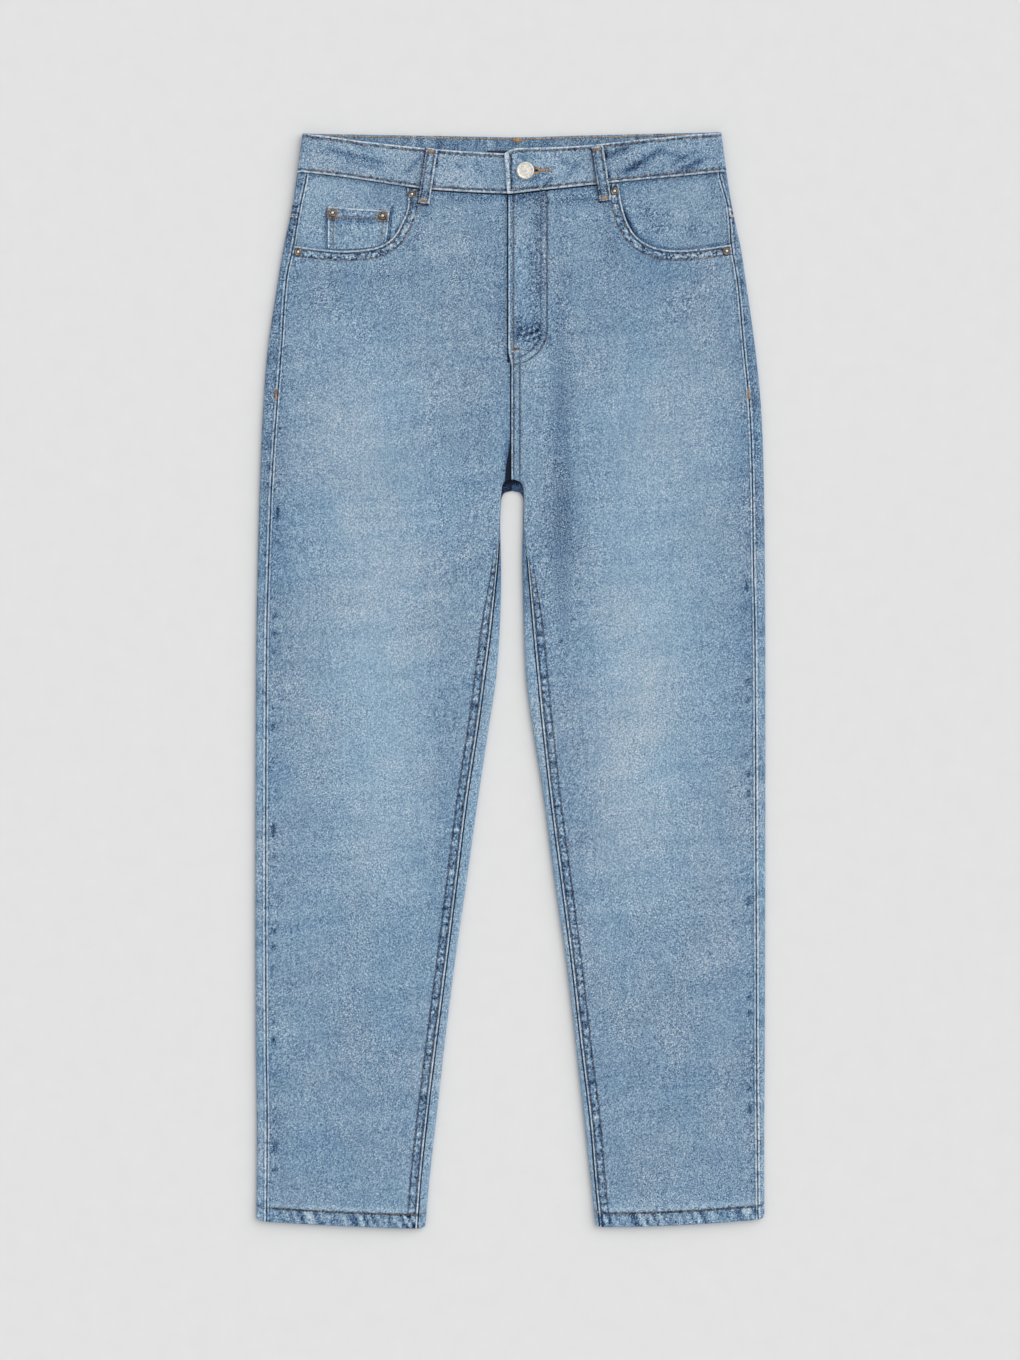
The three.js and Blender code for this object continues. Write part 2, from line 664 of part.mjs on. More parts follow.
function frontLoop(side) {
  const { top, bottom } = FRONT_LOOPS[side];
  const direction = new THREE.Vector2(bottom[0] - top[0], bottom[1] - top[1]).normalize();
  const band = side === "left" ? bandLeft : bandRight;
  return slab(2, 7, (u, v) => {
    const offset = (u - 0.5) * LOOP_WIDTH;
    const x = lerp(top[0], bottom[0], v) + direction.y * offset;
    const y = lerp(top[1], bottom[1], v) - direction.x * offset;
    const below = band(x, "bottom") - y;
    const onPanel = topZ(side, Math.abs(x), y) + 2 * GAP;
    const onBand = TAB_BASE + GAP + LOOP_SLACK * Math.sin(Math.PI * v);
    const low = lerp(onBand, onPanel, smoothstep(below, 1.5, 9));
    return { x, y, high: low + LOOP_WALL, low };
  });
}

function backLoop(x) {
  const top = bandBack(x, "top") - 2;
  const length = BAND_HEIGHT + 10;
  return slab(1, 2, (u, v) => ({
    x: x + (u - 0.5) * LOOP_WIDTH,
    y: top - v * length,
    high: LOOP_WALL,
    low: 0,
  }));
}

// The label's sliver inside the back of the waistband
const LABEL = { left: -22, right: 38, top: 504.3, bottom: 490 };

function waistLabel() {
  const low = BAND_LIFT + BAND_WALL + GAP;
  return slab(2, 1, (u, v) => ({
    x: lerp(LABEL.left, LABEL.right, u),
    y: lerp(LABEL.top, LABEL.bottom, v),
    high: low + LABEL_WALL,
    low,
  }));
}

function lathe(profile, segments) {
  const points = profile.map(([radius, height]) => new THREE.Vector2(radius, height));
  return new THREE.LatheGeometry(points, segments).rotateX(Math.PI / 2);
}

// A shank button: the shank goes through the tab's buttonhole and stands on the underlap
function buttonGeometry() {
  const { radius, capHeight, shankRadius } = BUTTON;
  const capBase = BAND_WALL + GAP; // above the underlap's face, where the shank starts
  return lathe(
    [
      [0, 0],
      [shankRadius, 0],
      [shankRadius, capBase],
      [radius - 1, capBase],
      [radius, capBase + 1],
      [radius, capBase + 2],
      [radius - 0.8, capBase + capHeight],
      [radius - 2.4, capBase + capHeight - 0.5],
      [0, capBase + capHeight - 0.7],
    ],
    28,
  );
}

const RIVET_RADIUS = 3.9;
function rivetGeometry() {
  return lathe(
    [
      [0, 0],
      [RIVET_RADIUS, 0],
      [RIVET_RADIUS - 0.4, 0.8],
      [1.8, 1],
      [1.2, 1.6],
      [0, 1.8],
    ],
    12,
  );
}

const RIVETS = [
  { name: "rivet_right_top", side: "right", xi: 93.6, y: 461, on: "front" },
  { name: "rivet_right_side", side: "right", xi: 201.6, y: 406.4, on: "front" },
  { name: "rivet_left_top", side: "left", xi: 98.6, y: 464, on: "front" },
  { name: "rivet_left_side", side: "left", xi: 205.2, y: 407.2, on: "front" },
  { name: "rivet_coin_inner", side: "right", xi: 121.5, y: 440.6, on: "coin" },
  { name: "rivet_coin_outer", side: "right", xi: 169, y: 443.4, on: "coin" },
];

// Highest point of what a rivet sits on, taken round its rim
function seatOf({ side, xi, y, on }) {
  let highest = 0;
  for (let i = 0; i < 8; i += 1) {
    const angle = (i * Math.PI) / 4;
    const [atXi, atY] = [xi + RIVET_RADIUS * Math.cos(angle), y + RIVET_RADIUS * Math.sin(angle)];
    const z = on === "coin" ? facingZ(side, atXi, atY) + GAP + COIN.wall : topZ(side, atXi, atY);
    highest = Math.max(highest, z);
  }
  return highest + GAP;
}

// A closed wall between two grids of points, with its faces turned outwards
function wallGeometry(outer, inner) {
  const rows = outer.length;
  const columns = outer[0].length;
  const points = [...outer.flat(), ...inner.flat()];
  const outerAt = (row, column) => row * columns + column;
  const innerAt = (row, column) => rows * columns + outerAt(row, column);
  const faces = [];
  const quad = (a, b, c, d) => faces.push(a, b, c, a, c, d);
  for (let row = 0; row < rows - 1; row += 1) {
    for (let column = 0; column < columns - 1; column += 1) {
      const corners = [
        [row, column],
        [row, column + 1],
        [row + 1, column + 1],
        [row + 1, column],
      ];
      quad(...corners.map(([r, c]) => outerAt(r, c)));
      quad(...corners.reverse().map(([r, c]) => innerAt(r, c)));
    }
  }
  for (let row = 0; row < rows - 1; row += 1) {
    const last = columns - 1;
    quad(outerAt(row + 1, 0), innerAt(row + 1, 0), innerAt(row, 0), outerAt(row, 0));
    quad(outerAt(row, last), innerAt(row, last), innerAt(row + 1, last), outerAt(row + 1, last));
  }
  for (let column = 0; column < columns - 1; column += 1) {
    const last = rows - 1;
    quad(outerAt(0, column), innerAt(0, column), innerAt(0, column + 1), outerAt(0, column + 1));
    quad(outerAt(last, column + 1), innerAt(last, column + 1), innerAt(last, column), outerAt(last, column));
  }
  let volume = 0;
  for (let i = 0; i < faces.length; i += 3) {
    const [a, b, c] = [points[faces[i]], points[faces[i + 1]], points[faces[i + 2]]];
    volume += a.dot(b.clone().cross(c));
  }
  if (volume < 0) faces.reverse();
  const geometry = new THREE.BufferGeometry().setFromPoints(points);
  geometry.setIndex(faces);
  geometry.computeVertexNormals();
  return geometry;
}

function solidOf(wasm, geometry) {
  const bare = geometry.clone();
  bare.deleteAttribute("normal");
  bare.deleteAttribute("uv");
  const merged = mergeVertices(bare);
  const mesh = new wasm.Mesh({
    numProp: 3,
    vertProperties: Float32Array.from(merged.attributes.position.array),
    triVerts: Uint32Array.from(merged.index.array),
  });
  return new wasm.Manifold(mesh);
}

function geometryOf(solid) {
  const mesh = solid.getMesh();
  const geometry = new THREE.BufferGeometry();
  geometry.setAttribute("position", new THREE.BufferAttribute(mesh.vertProperties, 3));
  geometry.setIndex(new THREE.BufferAttribute(mesh.triVerts, 1));
  geometry.computeVertexNormals();
  return geometry;
}

const wasm = await Module();
wasm.setup();

const group = new THREE.Group();
group.name = "mom_jeans";

function add(name, geometry, color, { roughness = 0.9, metalness = 0, at = [0, 0, 0] } = {}) {
  const mesh = new THREE.Mesh(geometry, new THREE.MeshStandardMaterial({ color, roughness, metalness }));
  mesh.name = name;
  mesh.position.set(...at);
  group.add(mesh);
}

for (const side of Object.keys(SIDES)) {
  add(`front_${side}`, frontPanel(side), DENIM);
  add(`back_${side}`, backPanel(side), DENIM);
  add(`yoke_${side}`, yoke(side), DENIM);
  add(`pocket_facing_${side}`, pocketFacing(side), DENIM);
  add(`back_pocket_${side}`, backPocket(side), DENIM);
  add(`belt_loop_front_${side}`, frontLoop(side), DARK_DENIM);
}
for (const [name, x] of Object.entries(BACK_LOOPS)) add(name, backLoop(x), DARK_DENIM);
add("waistband", waistband(wasm), DARK_DENIM);
add("coin_pocket", coinPocket(), DENIM);
add("waist_label", waistLabel(), 0x1f2a4d);

const metal = { roughness: 0.35, metalness: 1 };
add("button", buttonGeometry(), 0xd8d8d6, { ...metal, at: [BUTTON.x, BUTTON.y, TAB_BASE + GAP] });
for (const rivet of RIVETS) {
  const at = [SIDES[rivet.side] * rivet.xi, rivet.y, seatOf(rivet)];
  add(rivet.name, rivetGeometry(), 0xa07a60, { ...metal, at });
}

export default group;
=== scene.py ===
import math

import bpy
import numpy as np
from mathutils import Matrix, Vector


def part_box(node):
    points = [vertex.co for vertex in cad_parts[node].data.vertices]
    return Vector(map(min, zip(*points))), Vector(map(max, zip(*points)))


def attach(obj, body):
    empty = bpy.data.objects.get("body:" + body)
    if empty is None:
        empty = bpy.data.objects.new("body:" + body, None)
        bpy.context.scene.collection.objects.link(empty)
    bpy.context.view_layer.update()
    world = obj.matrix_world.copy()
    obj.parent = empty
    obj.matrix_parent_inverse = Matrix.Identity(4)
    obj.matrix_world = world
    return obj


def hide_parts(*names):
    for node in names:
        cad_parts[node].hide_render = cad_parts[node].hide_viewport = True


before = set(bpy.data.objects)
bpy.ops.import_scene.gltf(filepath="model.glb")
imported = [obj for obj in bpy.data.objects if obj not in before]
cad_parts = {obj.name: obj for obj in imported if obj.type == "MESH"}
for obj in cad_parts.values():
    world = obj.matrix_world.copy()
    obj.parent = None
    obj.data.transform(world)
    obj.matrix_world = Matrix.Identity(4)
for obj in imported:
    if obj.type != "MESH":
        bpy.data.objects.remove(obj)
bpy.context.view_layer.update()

MM = 0.001

# Driving sizes, the same as the solids'
GAP = 0.3
SEAM_HALF = 0.2
CLOTH = 1.1
BAND_WALL = 2.4
FLY_WALL = 2.4
HEM_WALL = 2.5
LOOP_WALL = 1.6
LABEL_WALL = 0.8
FOLD_R = 2.6
WAIST_FOLD_R = 2.4
HEM_FOLD_R = 3.1
BAND_FOLD_R = 3.15
LOFT = 0.5
LOFT_REACH = 30
BAND_LIFT = LOOP_WALL + GAP
BAND_HEIGHT = 38
LOOP_WIDTH = 12
HEM_Y = -519
HEM_TOP = -504
POCKET_ROW = 397
CROTCH_FRONT = (190, 176)
CROTCH_BACK = (179.5, 167)
CROTCH_POWER = 3
RISE_X = 0.8
FLY_EDGE_X = -2
UNDERLAP_X = 8
FLY_BOTTOM = 300
FLY_WIDTH = 34
FLY_FADE = 12
FLY_LIFT = 1.6
UNDERLAP_DIP = 1.2
FACING_DIP = CLOTH + 1.5 * GAP
FACING_UNDERLAP = 12
BACK_POCKET_LIFT = CLOTH + GAP
TAB_BASE = 2 * BAND_FOLD_R + BAND_LIFT
SIDES = {"right": -1, "left": 1}

# Stretches of y over which the form changes
FLOOR_RISES = (412, 460)  # over the belt loops
FOLDS_THIN = (410, 470)  # towards the waistband
ROWS_BEND = (-480, -400)  # to the hem's line
RIGHT_SINKS = (240, 198)  # below the left front, towards the crotch
BAND_ENDS = (520, 482)  # of the waistband's folds

# Sewing sizes
STITCH_PITCH = 3.1
STITCH_LENGTH = 2.5
THREAD_R = 0.52
THIN_R = 0.42  # beside the inseams and on the underside
ON_CLOTH = 0.05  # the middle of a stitch above the cloth
RIDGE = 0.35  # a sewn edge
SOFT_RIDGE = 0.3
RIDGE_HALF = 1.1
GROOVE = 0.22  # under a row of stitches
BAND_RISE = 0.25  # of the puckered bands beside seams
ROPE_RISE = 0.3
UNDER_SUNK = 0.3  # keeps the stitches of the underside off the floor
EDGE_ROW = 2.6  # first row of stitches from a finished edge
SECOND_ROW = 8.9
HEM_ROW = 13.2  # row above the hem's edge
INSEAM_ROWS = (2.7, 9.2)
SEEN_FROM = {"right": 132, "left": 118}  # above this, the inseams have rolled out of sight
BAND_ROW = 3.2
INNER_ROW = 2.0  # on the inside of the back of the waistband
TAB_ROW = 5.4
LOOP_ROW = 2.5
FLY_ROWS = (0.7, -5.3)  # from the fly's J line, outwards
FLY_TACK = ((1.5, 9.0), 314.5)  # x of its two ends, and y
RISE_ROWS = (2.8, 8.9)  # from the rise, the second only below the fly
SIDE_TACK = {"y": 271.5, "right": 2.2, "left": 0.5}  # the last two are the distances past the side seams
FAR = 60.0  # stands for "nowhere near"


def smoothstep(value, low, high):
    share = np.clip((value - low) / (high - low), 0, 1)
    return share * share * (3 - 2 * share)


def lerp(a, b, share):
    return a + (b - a) * share


def bell(value, width):
    return np.exp(-((value / width) ** 2))


def between(value, rise, fall):
    """1 between two ranges of a value, 0 outside them, with soft steps across both"""
    return smoothstep(value, *rise) * (1 - smoothstep(value, *fall))


def points_at(x, y, z):
    """Points from their coordinates, each an array or one number"""
    return np.stack(np.broadcast_arrays(x, y, z), -1)


def uneven(along, period, seed):
    """A wave from -1 to 1 whose bumps are uneven in length and height, about one every `period`"""
    turn = 2 * math.pi * along / period
    height = 0.62 + 0.38 * np.sin(0.23 * turn + 2 * seed)
    return height * np.sin(turn + 1.6 * np.sin(0.31 * turn + seed) + seed)


def smooth_table(columns, *rows):
    """A table of sizes with named columns, read between its rows along a smooth curve"""
    columns = columns.split()
    rows = np.array(sorted(rows), float)
    keys = rows[:, 0]
    row = np.arange(len(keys))
    before, after = np.maximum(row - 1, 0), np.minimum(row + 1, row[-1])

    def read(at, column):
        values = rows[:, columns.index(column)]
        slopes = (values[after] - values[before]) / (keys[after] - keys[before])
        at = np.clip(at, keys[0], keys[-1])
        i = np.clip(np.searchsorted(keys, at, side="right") - 1, 0, row[-1] - 1)
        step = keys[i + 1] - keys[i]
        t = (at - keys[i]) / step
        start = values[i] * (2 * t**3 - 3 * t**2 + 1) + slopes[i] * step * (t**3 - 2 * t**2 + t)
        end = values[i + 1] * (3 * t**2 - 2 * t**3) + slopes[i + 1] * step * (t**3 - t**2)
        return start + end

    return read


# Outline and side seam, from the waist to the hem: distances from the centre line
outline = smooth_table(
    "y right_edge right_seam left_seam left_edge",
    [520, 197.5, 189, 195, 200],
    [482, 202.5, 192.5, 197.5, 205],
    [448, 207.5, 199.5, 206, 210.5],
    [411, 215.5, 206, 209.5, 218.5],
    [378, 221, 212.5, 215, 223.5],
    [314, 230.5, 217, 221, 232.5],
    [257, 235, 221.5, 226.5, 238],
    [190, 238, 226, 229, 240.5],
    [114, 240, 229, 230, 241.5],
    [38, 241.5, 231, 231.5, 242],
    [-190, 242.5, 232, 232.5, 242],
    [-342, 242, 231.5, 233, 241.5],
    [-418, 241, 230.5, 233.5, 241],
    [-520, 241.5, 231, 234.5, 241],
)

# Inner edge and inseam of each leg, from the crotch to the hem: distances from the centre line
inside = smooth_table(
    "y right_edge right_seam left_seam left_edge",
    [178, 8.5, 8.6, 12.4, 12.3],
    [152, 9.8, 10.2, 12.4, 11.8],
    [114, 9, 12.2, 16.2, 11],
    [76, 9.2, 15.8, 19.5, 11.8],
    [38, 10.8, 20, 22.7, 12.8],
    [0, 13.8, 25, 26.3, 14.8],
    [-38, 19.5, 30, 30, 19.6],
    [-114, 31, 41.5, 38.4, 31.6],
    [-190, 41.5, 51, 48.2, 41.5],
    [-266, 52.5, 60.5, 58, 52.5],
    [-342, 62, 70.3, 66.6, 61.4],
    [-418, 70.6, 79.6, 75.8, 69.8],
    [-475, 77, 85.6, 80.6, 76],
    [-520, 81, 88.8, 85.2, 81],
)

# The hem's edge across a leg
hem_line = smooth_table(
    "xi right left",
    [79, -517.5, -516],
    [86, -520.3, -518.8],
    [150, -518.6, -517.8],
    [225, -514.4, -513],
    [237, -513, -511.3],
    [242, -510, -508.5],
)

# Edges of the waistband: its right front with the underlap, its left front with the tab, its back
BAND_FRONT = {
    "right": smooth_table(
        "x top bottom",
        [-199, 519, 482],
        [-175, 516.2, 479.6],
        [-138, 511, 474.5],
        [-87, 505.4, 466.8],
        [-54, 502.6, 464],
        [-6, 499.7, 461.8],
        [8, 499.4, 462.8],
        [30, 499, 465.4],
    ),
    "left": smooth_table(
        "x top bottom",
        [-6, 499.4, 461.2],
        [0, 503.2, 461.4],
        [8, 504.6, 462.2],
        [38, 505.4, 465.8],
        [75, 507.8, 469.8],
        [124, 513, 474.8],
        [174, 517.8, 479.6],
        [200, 519.6, 482.4],
    ),
}
band_back = smooth_table(
    "x top",
    [-199, 519],
    [-30, 516],
    [6, 515.4],
    [72, 517.2],
    [200, 520.3],
)

# The front pockets' scooped openings, from the waistband round to the side seam
OPENING_ROWS = 7
opening = smooth_table(
    "row right_xi right_y left_xi left_y",
    [0, 98.3, 467.6, 102, 471.5],
    [1, 97.4, 449.5, 106.5, 447],
    [2, 104, 432.4, 113.5, 429],
    [3, 112.6, 419.1, 124, 417.2],
    [4, 127.8, 410.6, 141, 409.6],
    [5, 155.3, 407.4, 161, 407.8],
    [6, 178, 408.8, 185, 410],
    [7, 205.6, 412.1, 209.2, 413.4],
)

# Soft folds and creases of the top layer. Columns: x1, y1, x2, y2 of the ends, half width, height.
TOP_FOLDS = [
    [48, 390, 50, -10, 16, -0.9],
    [70, 380, 78, 60, 18, 0.35],
    [-60, 330, -48, 60, 20, -0.6],
    [-190, 380, -120, 320, 14, -0.5],
    [190, 385, 130, 330, 14, -0.5],
    [-160, 40, -120, -420, 30, 0.35],
    [150, 20, 130, -400, 30, 0.35],
    [-70, 452, -22, 436, 5, -0.3],
    [58, 300, 96, 268, 7, -0.32],
    [44, 262, 108, 236, 6, -0.3],
    [-36, 262, -98, 240, 6, -0.3],
    [-30, 232, -84, 196, 7, -0.34],
    [30, 216, 82, 176, 7, -0.34],
    [-204, 402, -186, 391, 3, -0.3],
    [-205, 330, -150, 300, 8, -0.35],
    [208, 338, 168, 310, 7, -0.35],
    [-216, 250, -176, 236, 7, -0.3],
    [-198, 60, -140, 42, 9, -0.34],
    [-176, 22, -112, 6, 7, -0.28],
    [-60, -30, -110, -46, 8, -0.3],
    [206, 40, 150, 18, 9, -0.34],
    [66, -20, 118, -40, 8, -0.3],
    [190, -60, 132, -70, 8, -0.26],
    [-210, -340, -168, -352, 7, -0.28],
    [-104, -420, -140, -436, 7, -0.3],
    [112, -410, 150, -428, 7, -0.3],
    [214, -380, 178, -396, 7, -0.28],
]

# Similar creases of the hidden side, pressed up from the floor
UNDER_FOLDS = [
    [40, 190, 104, 164, 8, 0.6],
    [-40, 186, -112, 158, 8, 0.6],
    [56, 150, 150, 132, 9, 0.5],
    [-52, 140, -132, 128, 7, 0.45],
    [70, 20, 160, 4, 9, 0.6],
    [-64, 12, -150, -8, 10, 0.6],
    [90, -26, 182, -44, 7, 0.5],
    [-84, -40, -176, -52, 8, 0.5],
    [110, -300, 190, -322, 8, 0.45],
    [-120, -330, -204, -344, 8, 0.45],
    [124, 190, 120, -180, 22, 0.5],
    [-126, 180, -122, -200, 20, 0.5],
]

# Diagonal creases of the waistband's front: the same columns
BAND_FOLDS = [
    [17, 466, 26, 480, 2.6, -0.6],
    [29, 467, 42, 480, 2.8, -0.6],
    [25, 466, 48, 488, 2.2, 0.35],
    [8, 500, 16, 492, 3, -0.45],
    [50, 472, 66, 494, 3, -0.35],
    [104, 478, 150, 508, 3.4, -0.5],
    [160, 482, 186, 496, 3, -0.5],
    [-100, 478, -84, 500, 2.8, -0.4],
    [79, 492, 116, 507, 3, -0.5],
    [96, 480, 128, 492, 2.6, -0.35],
    [-181, 505, -112, 489, 2.8, -0.45],
    [-160, 494, -120, 484, 2.2, -0.3],
    [-52, 491, -45, 485, 2.4, -0.4],
    [-34, 494, -26, 478, 2.2, -0.3],
    [44, 497, 58, 487, 2.4, -0.35],
    [140, 503, 168, 495, 2.6, -0.35],
    [148, 488, 180, 503, 2.2, -0.3],
    [-150, 509, -128, 499, 2.4, -0.3],
]


def fold_height(x, y, rows):
    """The height that folds add, strongest along the middle of each and faded at its ends"""
    height = np.zeros(np.broadcast(x, y).shape)
    for x1, y1, x2, y2, width, depth in rows:
        dx, dy = x2 - x1, y2 - y1
        along = np.clip(((x - x1) * dx + (y - y1) * dy) / (dx * dx + dy * dy), 0, 1)
        away = np.hypot(x - x1 - along * dx, y - y1 - along * dy)
        height += depth * between(along, (0, 0.2), (0.75, 1)) * bell(away, width)
    return height


# Worn and unworn places of the front, and painted shade along its folds, beside the fly, below the
# waistband and the loops and beside the pockets' openings. Columns: x and y of the middle, half width, half
# height, and how much paler it is there, or darker below zero.
WASH_AND_SHADE = [
    [-126, 70, 54, 190, 0.9],
    [-120, -120, 50, 120, 0.55],
    [128, 70, 54, 190, 0.9],
    [122, -120, 50, 120, 0.55],
    [-150, 260, 50, 70, 0.35],
    [140, 260, 60, 70, 0.35],
    [-120, 385, 110, 60, -0.4],
    [120, 385, 110, 60, -0.4],
    [-150, -380, 110, 150, -0.15],
    [150, -380, 110, 150, -0.15],
    # painted shade along the long fold of the +X leg and beside the rise
    [48, 210, 10, 170, -1.2],
    [52, 156, 12, 50, -0.7],
    [34, 120, 14, 90, -0.35],
    [-28, 250, 16, 110, -0.25],
    [-222, 200, 14, 320, -0.55],
    [224, 200, 14, 320, -0.5],
    [-60, -80, 16, 160, -0.35],
    [64, -90, 16, 160, -0.35],
    # painted shade along the fly, below the waistband and the loops and beside the pockets' openings, among
    # the fly's own blotches
    [25, 400, 4, 70, -0.7],
    [18, 456, 18, 7, -1.1],
    [30, 440, 6, 16, -0.8],
    [20, 330, 17, 9, -1.0],
    [20, 306, 18, 5, 0.8],
    [8, 344, 6, 5, -0.6],
    [36, 318, 5, 12, -0.5],
    [-10, 345, 5, 60, -0.6],
    [-84, 448, 12, 9, -0.8],
    [92, 450, 12, 9, -0.8],
    [-42, 456, 34, 5, -0.6],
    [54, 456, 30, 5, -0.6],
    [66, 457, 20, 5, -0.9],
    [96, 414, 9, 20, -0.6],
    [-92, 416, 8, 20, -0.4],
    [-60, 420, 26, 30, 0.3],
    [66, 410, 20, 36, 0.3],
    [-226, -410, 12, 60, -0.5],
    [228, -360, 12, 80, -0.4],
]


def wash_and_shade_of(x, y):
    wash = np.zeros(np.broadcast(x, y).shape)
    for at_x, at_y, half_x, half_y, amount in WASH_AND_SHADE:
        wash += amount * np.exp(-(((x - at_x) / half_x) ** 2) - ((y - at_y) / half_y) ** 2)
    return wash


# Heights of the cloth
def floor_z(y):
    """The underside, which rises over the belt loops towards the waistband"""
    return BAND_LIFT * smoothstep(y, *FLOOR_RISES)


def fold_radius(y):
    waist = (WAIST_FOLD_R - FOLD_R) * smoothstep(y, *FOLDS_THIN)
    hem = (HEM_FOLD_R - FOLD_R) * (1 - smoothstep(y, HEM_TOP, HEM_TOP + 14))
    return FOLD_R + waist + hem


def cloth_wall(y):
    return lerp(HEM_WALL, CLOTH, smoothstep(y, HEM_TOP - 1, HEM_TOP + 1))


def outer_edge(side, y):
    return outline(y, side + "_edge")


def side_seam(side, y):
    return outline(y, side + "_seam")


def inner_edge(side, y):
    return inside(y, side + "_edge")


def inseam(side, y):
    return inside(y, side + "_seam")


def level_of(side, xi, y):
    """A row's y across a leg, bent to the hem's line near the hem"""
    shift = hem_line(xi, side) - HEM_Y
    return y + shift * (1 - smoothstep(y, *ROWS_BEND))


def top_z(side, xi, y):
    radius = fold_radius(y)
    from_outside = outer_edge(side, y) - xi - radius
    open_leg = 1 - smoothstep(y, CROTCH_FRONT[1], CROTCH_FRONT[0])
    from_inside = lerp(LOFT_REACH, xi - inner_edge(side, y) - radius, open_leg)
    inward = smoothstep(np.minimum(from_outside, from_inside), 0, LOFT_REACH)
    return floor_z(y) + 2 * radius + inward * (LOFT + fold_height(SIDES[side] * xi, y, TOP_FOLDS))


BACK_POCKET = {"top": 382, "corner": 238, "tip": 220, "centre": 95, "half_top": 70, "half_bottom": 62}
BACK_POCKET_LENGTH = 150  # between its corners' and its tip's


def under_z(side, xi, y):
    pocket = BACK_POCKET
    away = np.abs(xi - pocket["centre"]) - pocket["half_top"]
    across = 1 - smoothstep(away, 1.5, 9)
    along = between(y, (pocket["tip"] - 14, pocket["tip"] - 5), (pocket["top"] + 5, pocket["top"] + 14))
    return floor_z(y) + BACK_POCKET_LIFT * across * along + fold_height(SIDES[side] * xi, y, UNDER_FOLDS)


def path_to(inward, radius):
    """Length along the cloth from the very edge of a fold to a place seen `inward` of it"""
    on_bend = radius * np.arccos(np.clip(1 - inward / radius, -1, 1))
    return np.where(inward >= radius, radius * math.pi / 2 + inward - radius, on_bend)


def section(outer_xi, outer_z, inner_xi, inner_z):
    """The four numbers that place a wall at one point of a panel, last in the array"""
    return np.stack(np.broadcast_arrays(outer_xi, outer_z, inner_xi, inner_z), -1)


def top_section(side, xi, y):
    z = top_z(side, xi, y)
    return section(xi, z, xi, z - cloth_wall(y))


def under_section(side, xi, y):
    z = under_z(side, xi, y)
    return section(xi, z, xi, z + cloth_wall(y))


def fold_section(side, y, path, edge, inward):
    """The wall `path` along the cloth from the edge of a fold: above it if positive, below if negative"""
    radius = fold_radius(y)
    thin = radius - cloth_wall(y)
    quarter = radius * math.pi / 2
    angle = np.clip(path, -quarter, quarter) / radius
    across, up = np.cos(angle), np.sin(angle)
    centre = floor_z(y) + radius
    turned_xi = [edge + inward * (radius - reach * across) for reach in (radius, thin)]
    bend = section(turned_xi[0], centre + radius * up, turned_xi[1], centre + thin * up)
    xi = edge + inward * (radius + np.maximum(np.abs(path) - quarter, 0))
    above = (path > quarter)[..., None]
    below = (path < -quarter)[..., None]
    return np.where(above, top_section(side, xi, y), np.where(below, under_section(side, xi, y), bend))


def parted(crotch, y):
    """How far the legs have parted at y: 0 above the crotch, 1 below it, along a rounded corner"""
    top, bottom = crotch
    share = np.clip((y - bottom) / (top - bottom), 0, 1)
    return (1 - share**CROTCH_POWER) ** (1 / CROTCH_POWER)


# Distances that the relief, the stitches and the wear of the front are built on
NEAR_POCKET = {"xi": 80, "y": 380}  # a front pocket's opening lies past these


def opening_at(side, row):
    return opening(row, side + "_xi"), opening(row, side + "_y")


def opening_points(side, start=0.0, count=260):
    return opening_at(side, np.linspace(start, OPENING_ROWS, count))


def beside(x, y, run_x, run_y, offset):
    """The point `offset` away from x, y, square to the line that runs there"""
    run = np.hypot(run_x, run_y)
    return x + run_y / run * offset, y - run_x / run * offset


def from_opening(side, xi, y):
    """Distance from a front pocket's opening, and the length along it"""
    shape = np.broadcast(xi, y).shape
    xi, y = (np.broadcast_to(value, shape).ravel() for value in (xi, y))
    distance = np.full(xi.size, FAR)
    along = np.zeros(xi.size)
    near = (y > NEAR_POCKET["y"]) & (xi > NEAR_POCKET["xi"])
    line_xi, line_y = opening_points(side)
    lengths = np.concatenate([[0], np.cumsum(np.hypot(np.diff(line_xi), np.diff(line_y)))])
    squares = (xi[near, None] - line_xi) ** 2 + (y[near, None] - line_y) ** 2
    nearest = squares.argmin(1)
    distance[near] = np.sqrt(squares.min(1))
    along[near] = lengths[nearest]
    return distance.reshape(shape), along.reshape(shape)


def centre_edge(side, y):
    """A front's edge at the centre: met at the rise, lapped at the fly"""
    lapped = FLY_EDGE_X if side == "left" else -UNDERLAP_X
    met = SIDES[side] * RISE_X + GAP / 2
    return lerp(met, lapped, smoothstep(y, FLY_BOTTOM, FLY_BOTTOM + 12))


def from_fly_line(x, y):
    """Distance outside the fly facing's J line"""
    below = FLY_BOTTOM + FLY_WIDTH - y
    return np.where(below > 0, np.hypot(np.maximum(x, 0), below) - FLY_WIDTH, x - FLY_WIDTH)


def hem_height(side, xi, y):
    return y - hem_line(xi, side)


def inseam_spread(y):
    """The rows of stitches beside an inseam run closer to it near the crotch"""
    return 1 - 0.5 * smoothstep(y, 40, 125)


def hem_band(hem):
    return between(hem, (-0.5, 2), (HEM_ROW - 1.5, HEM_ROW + 2))


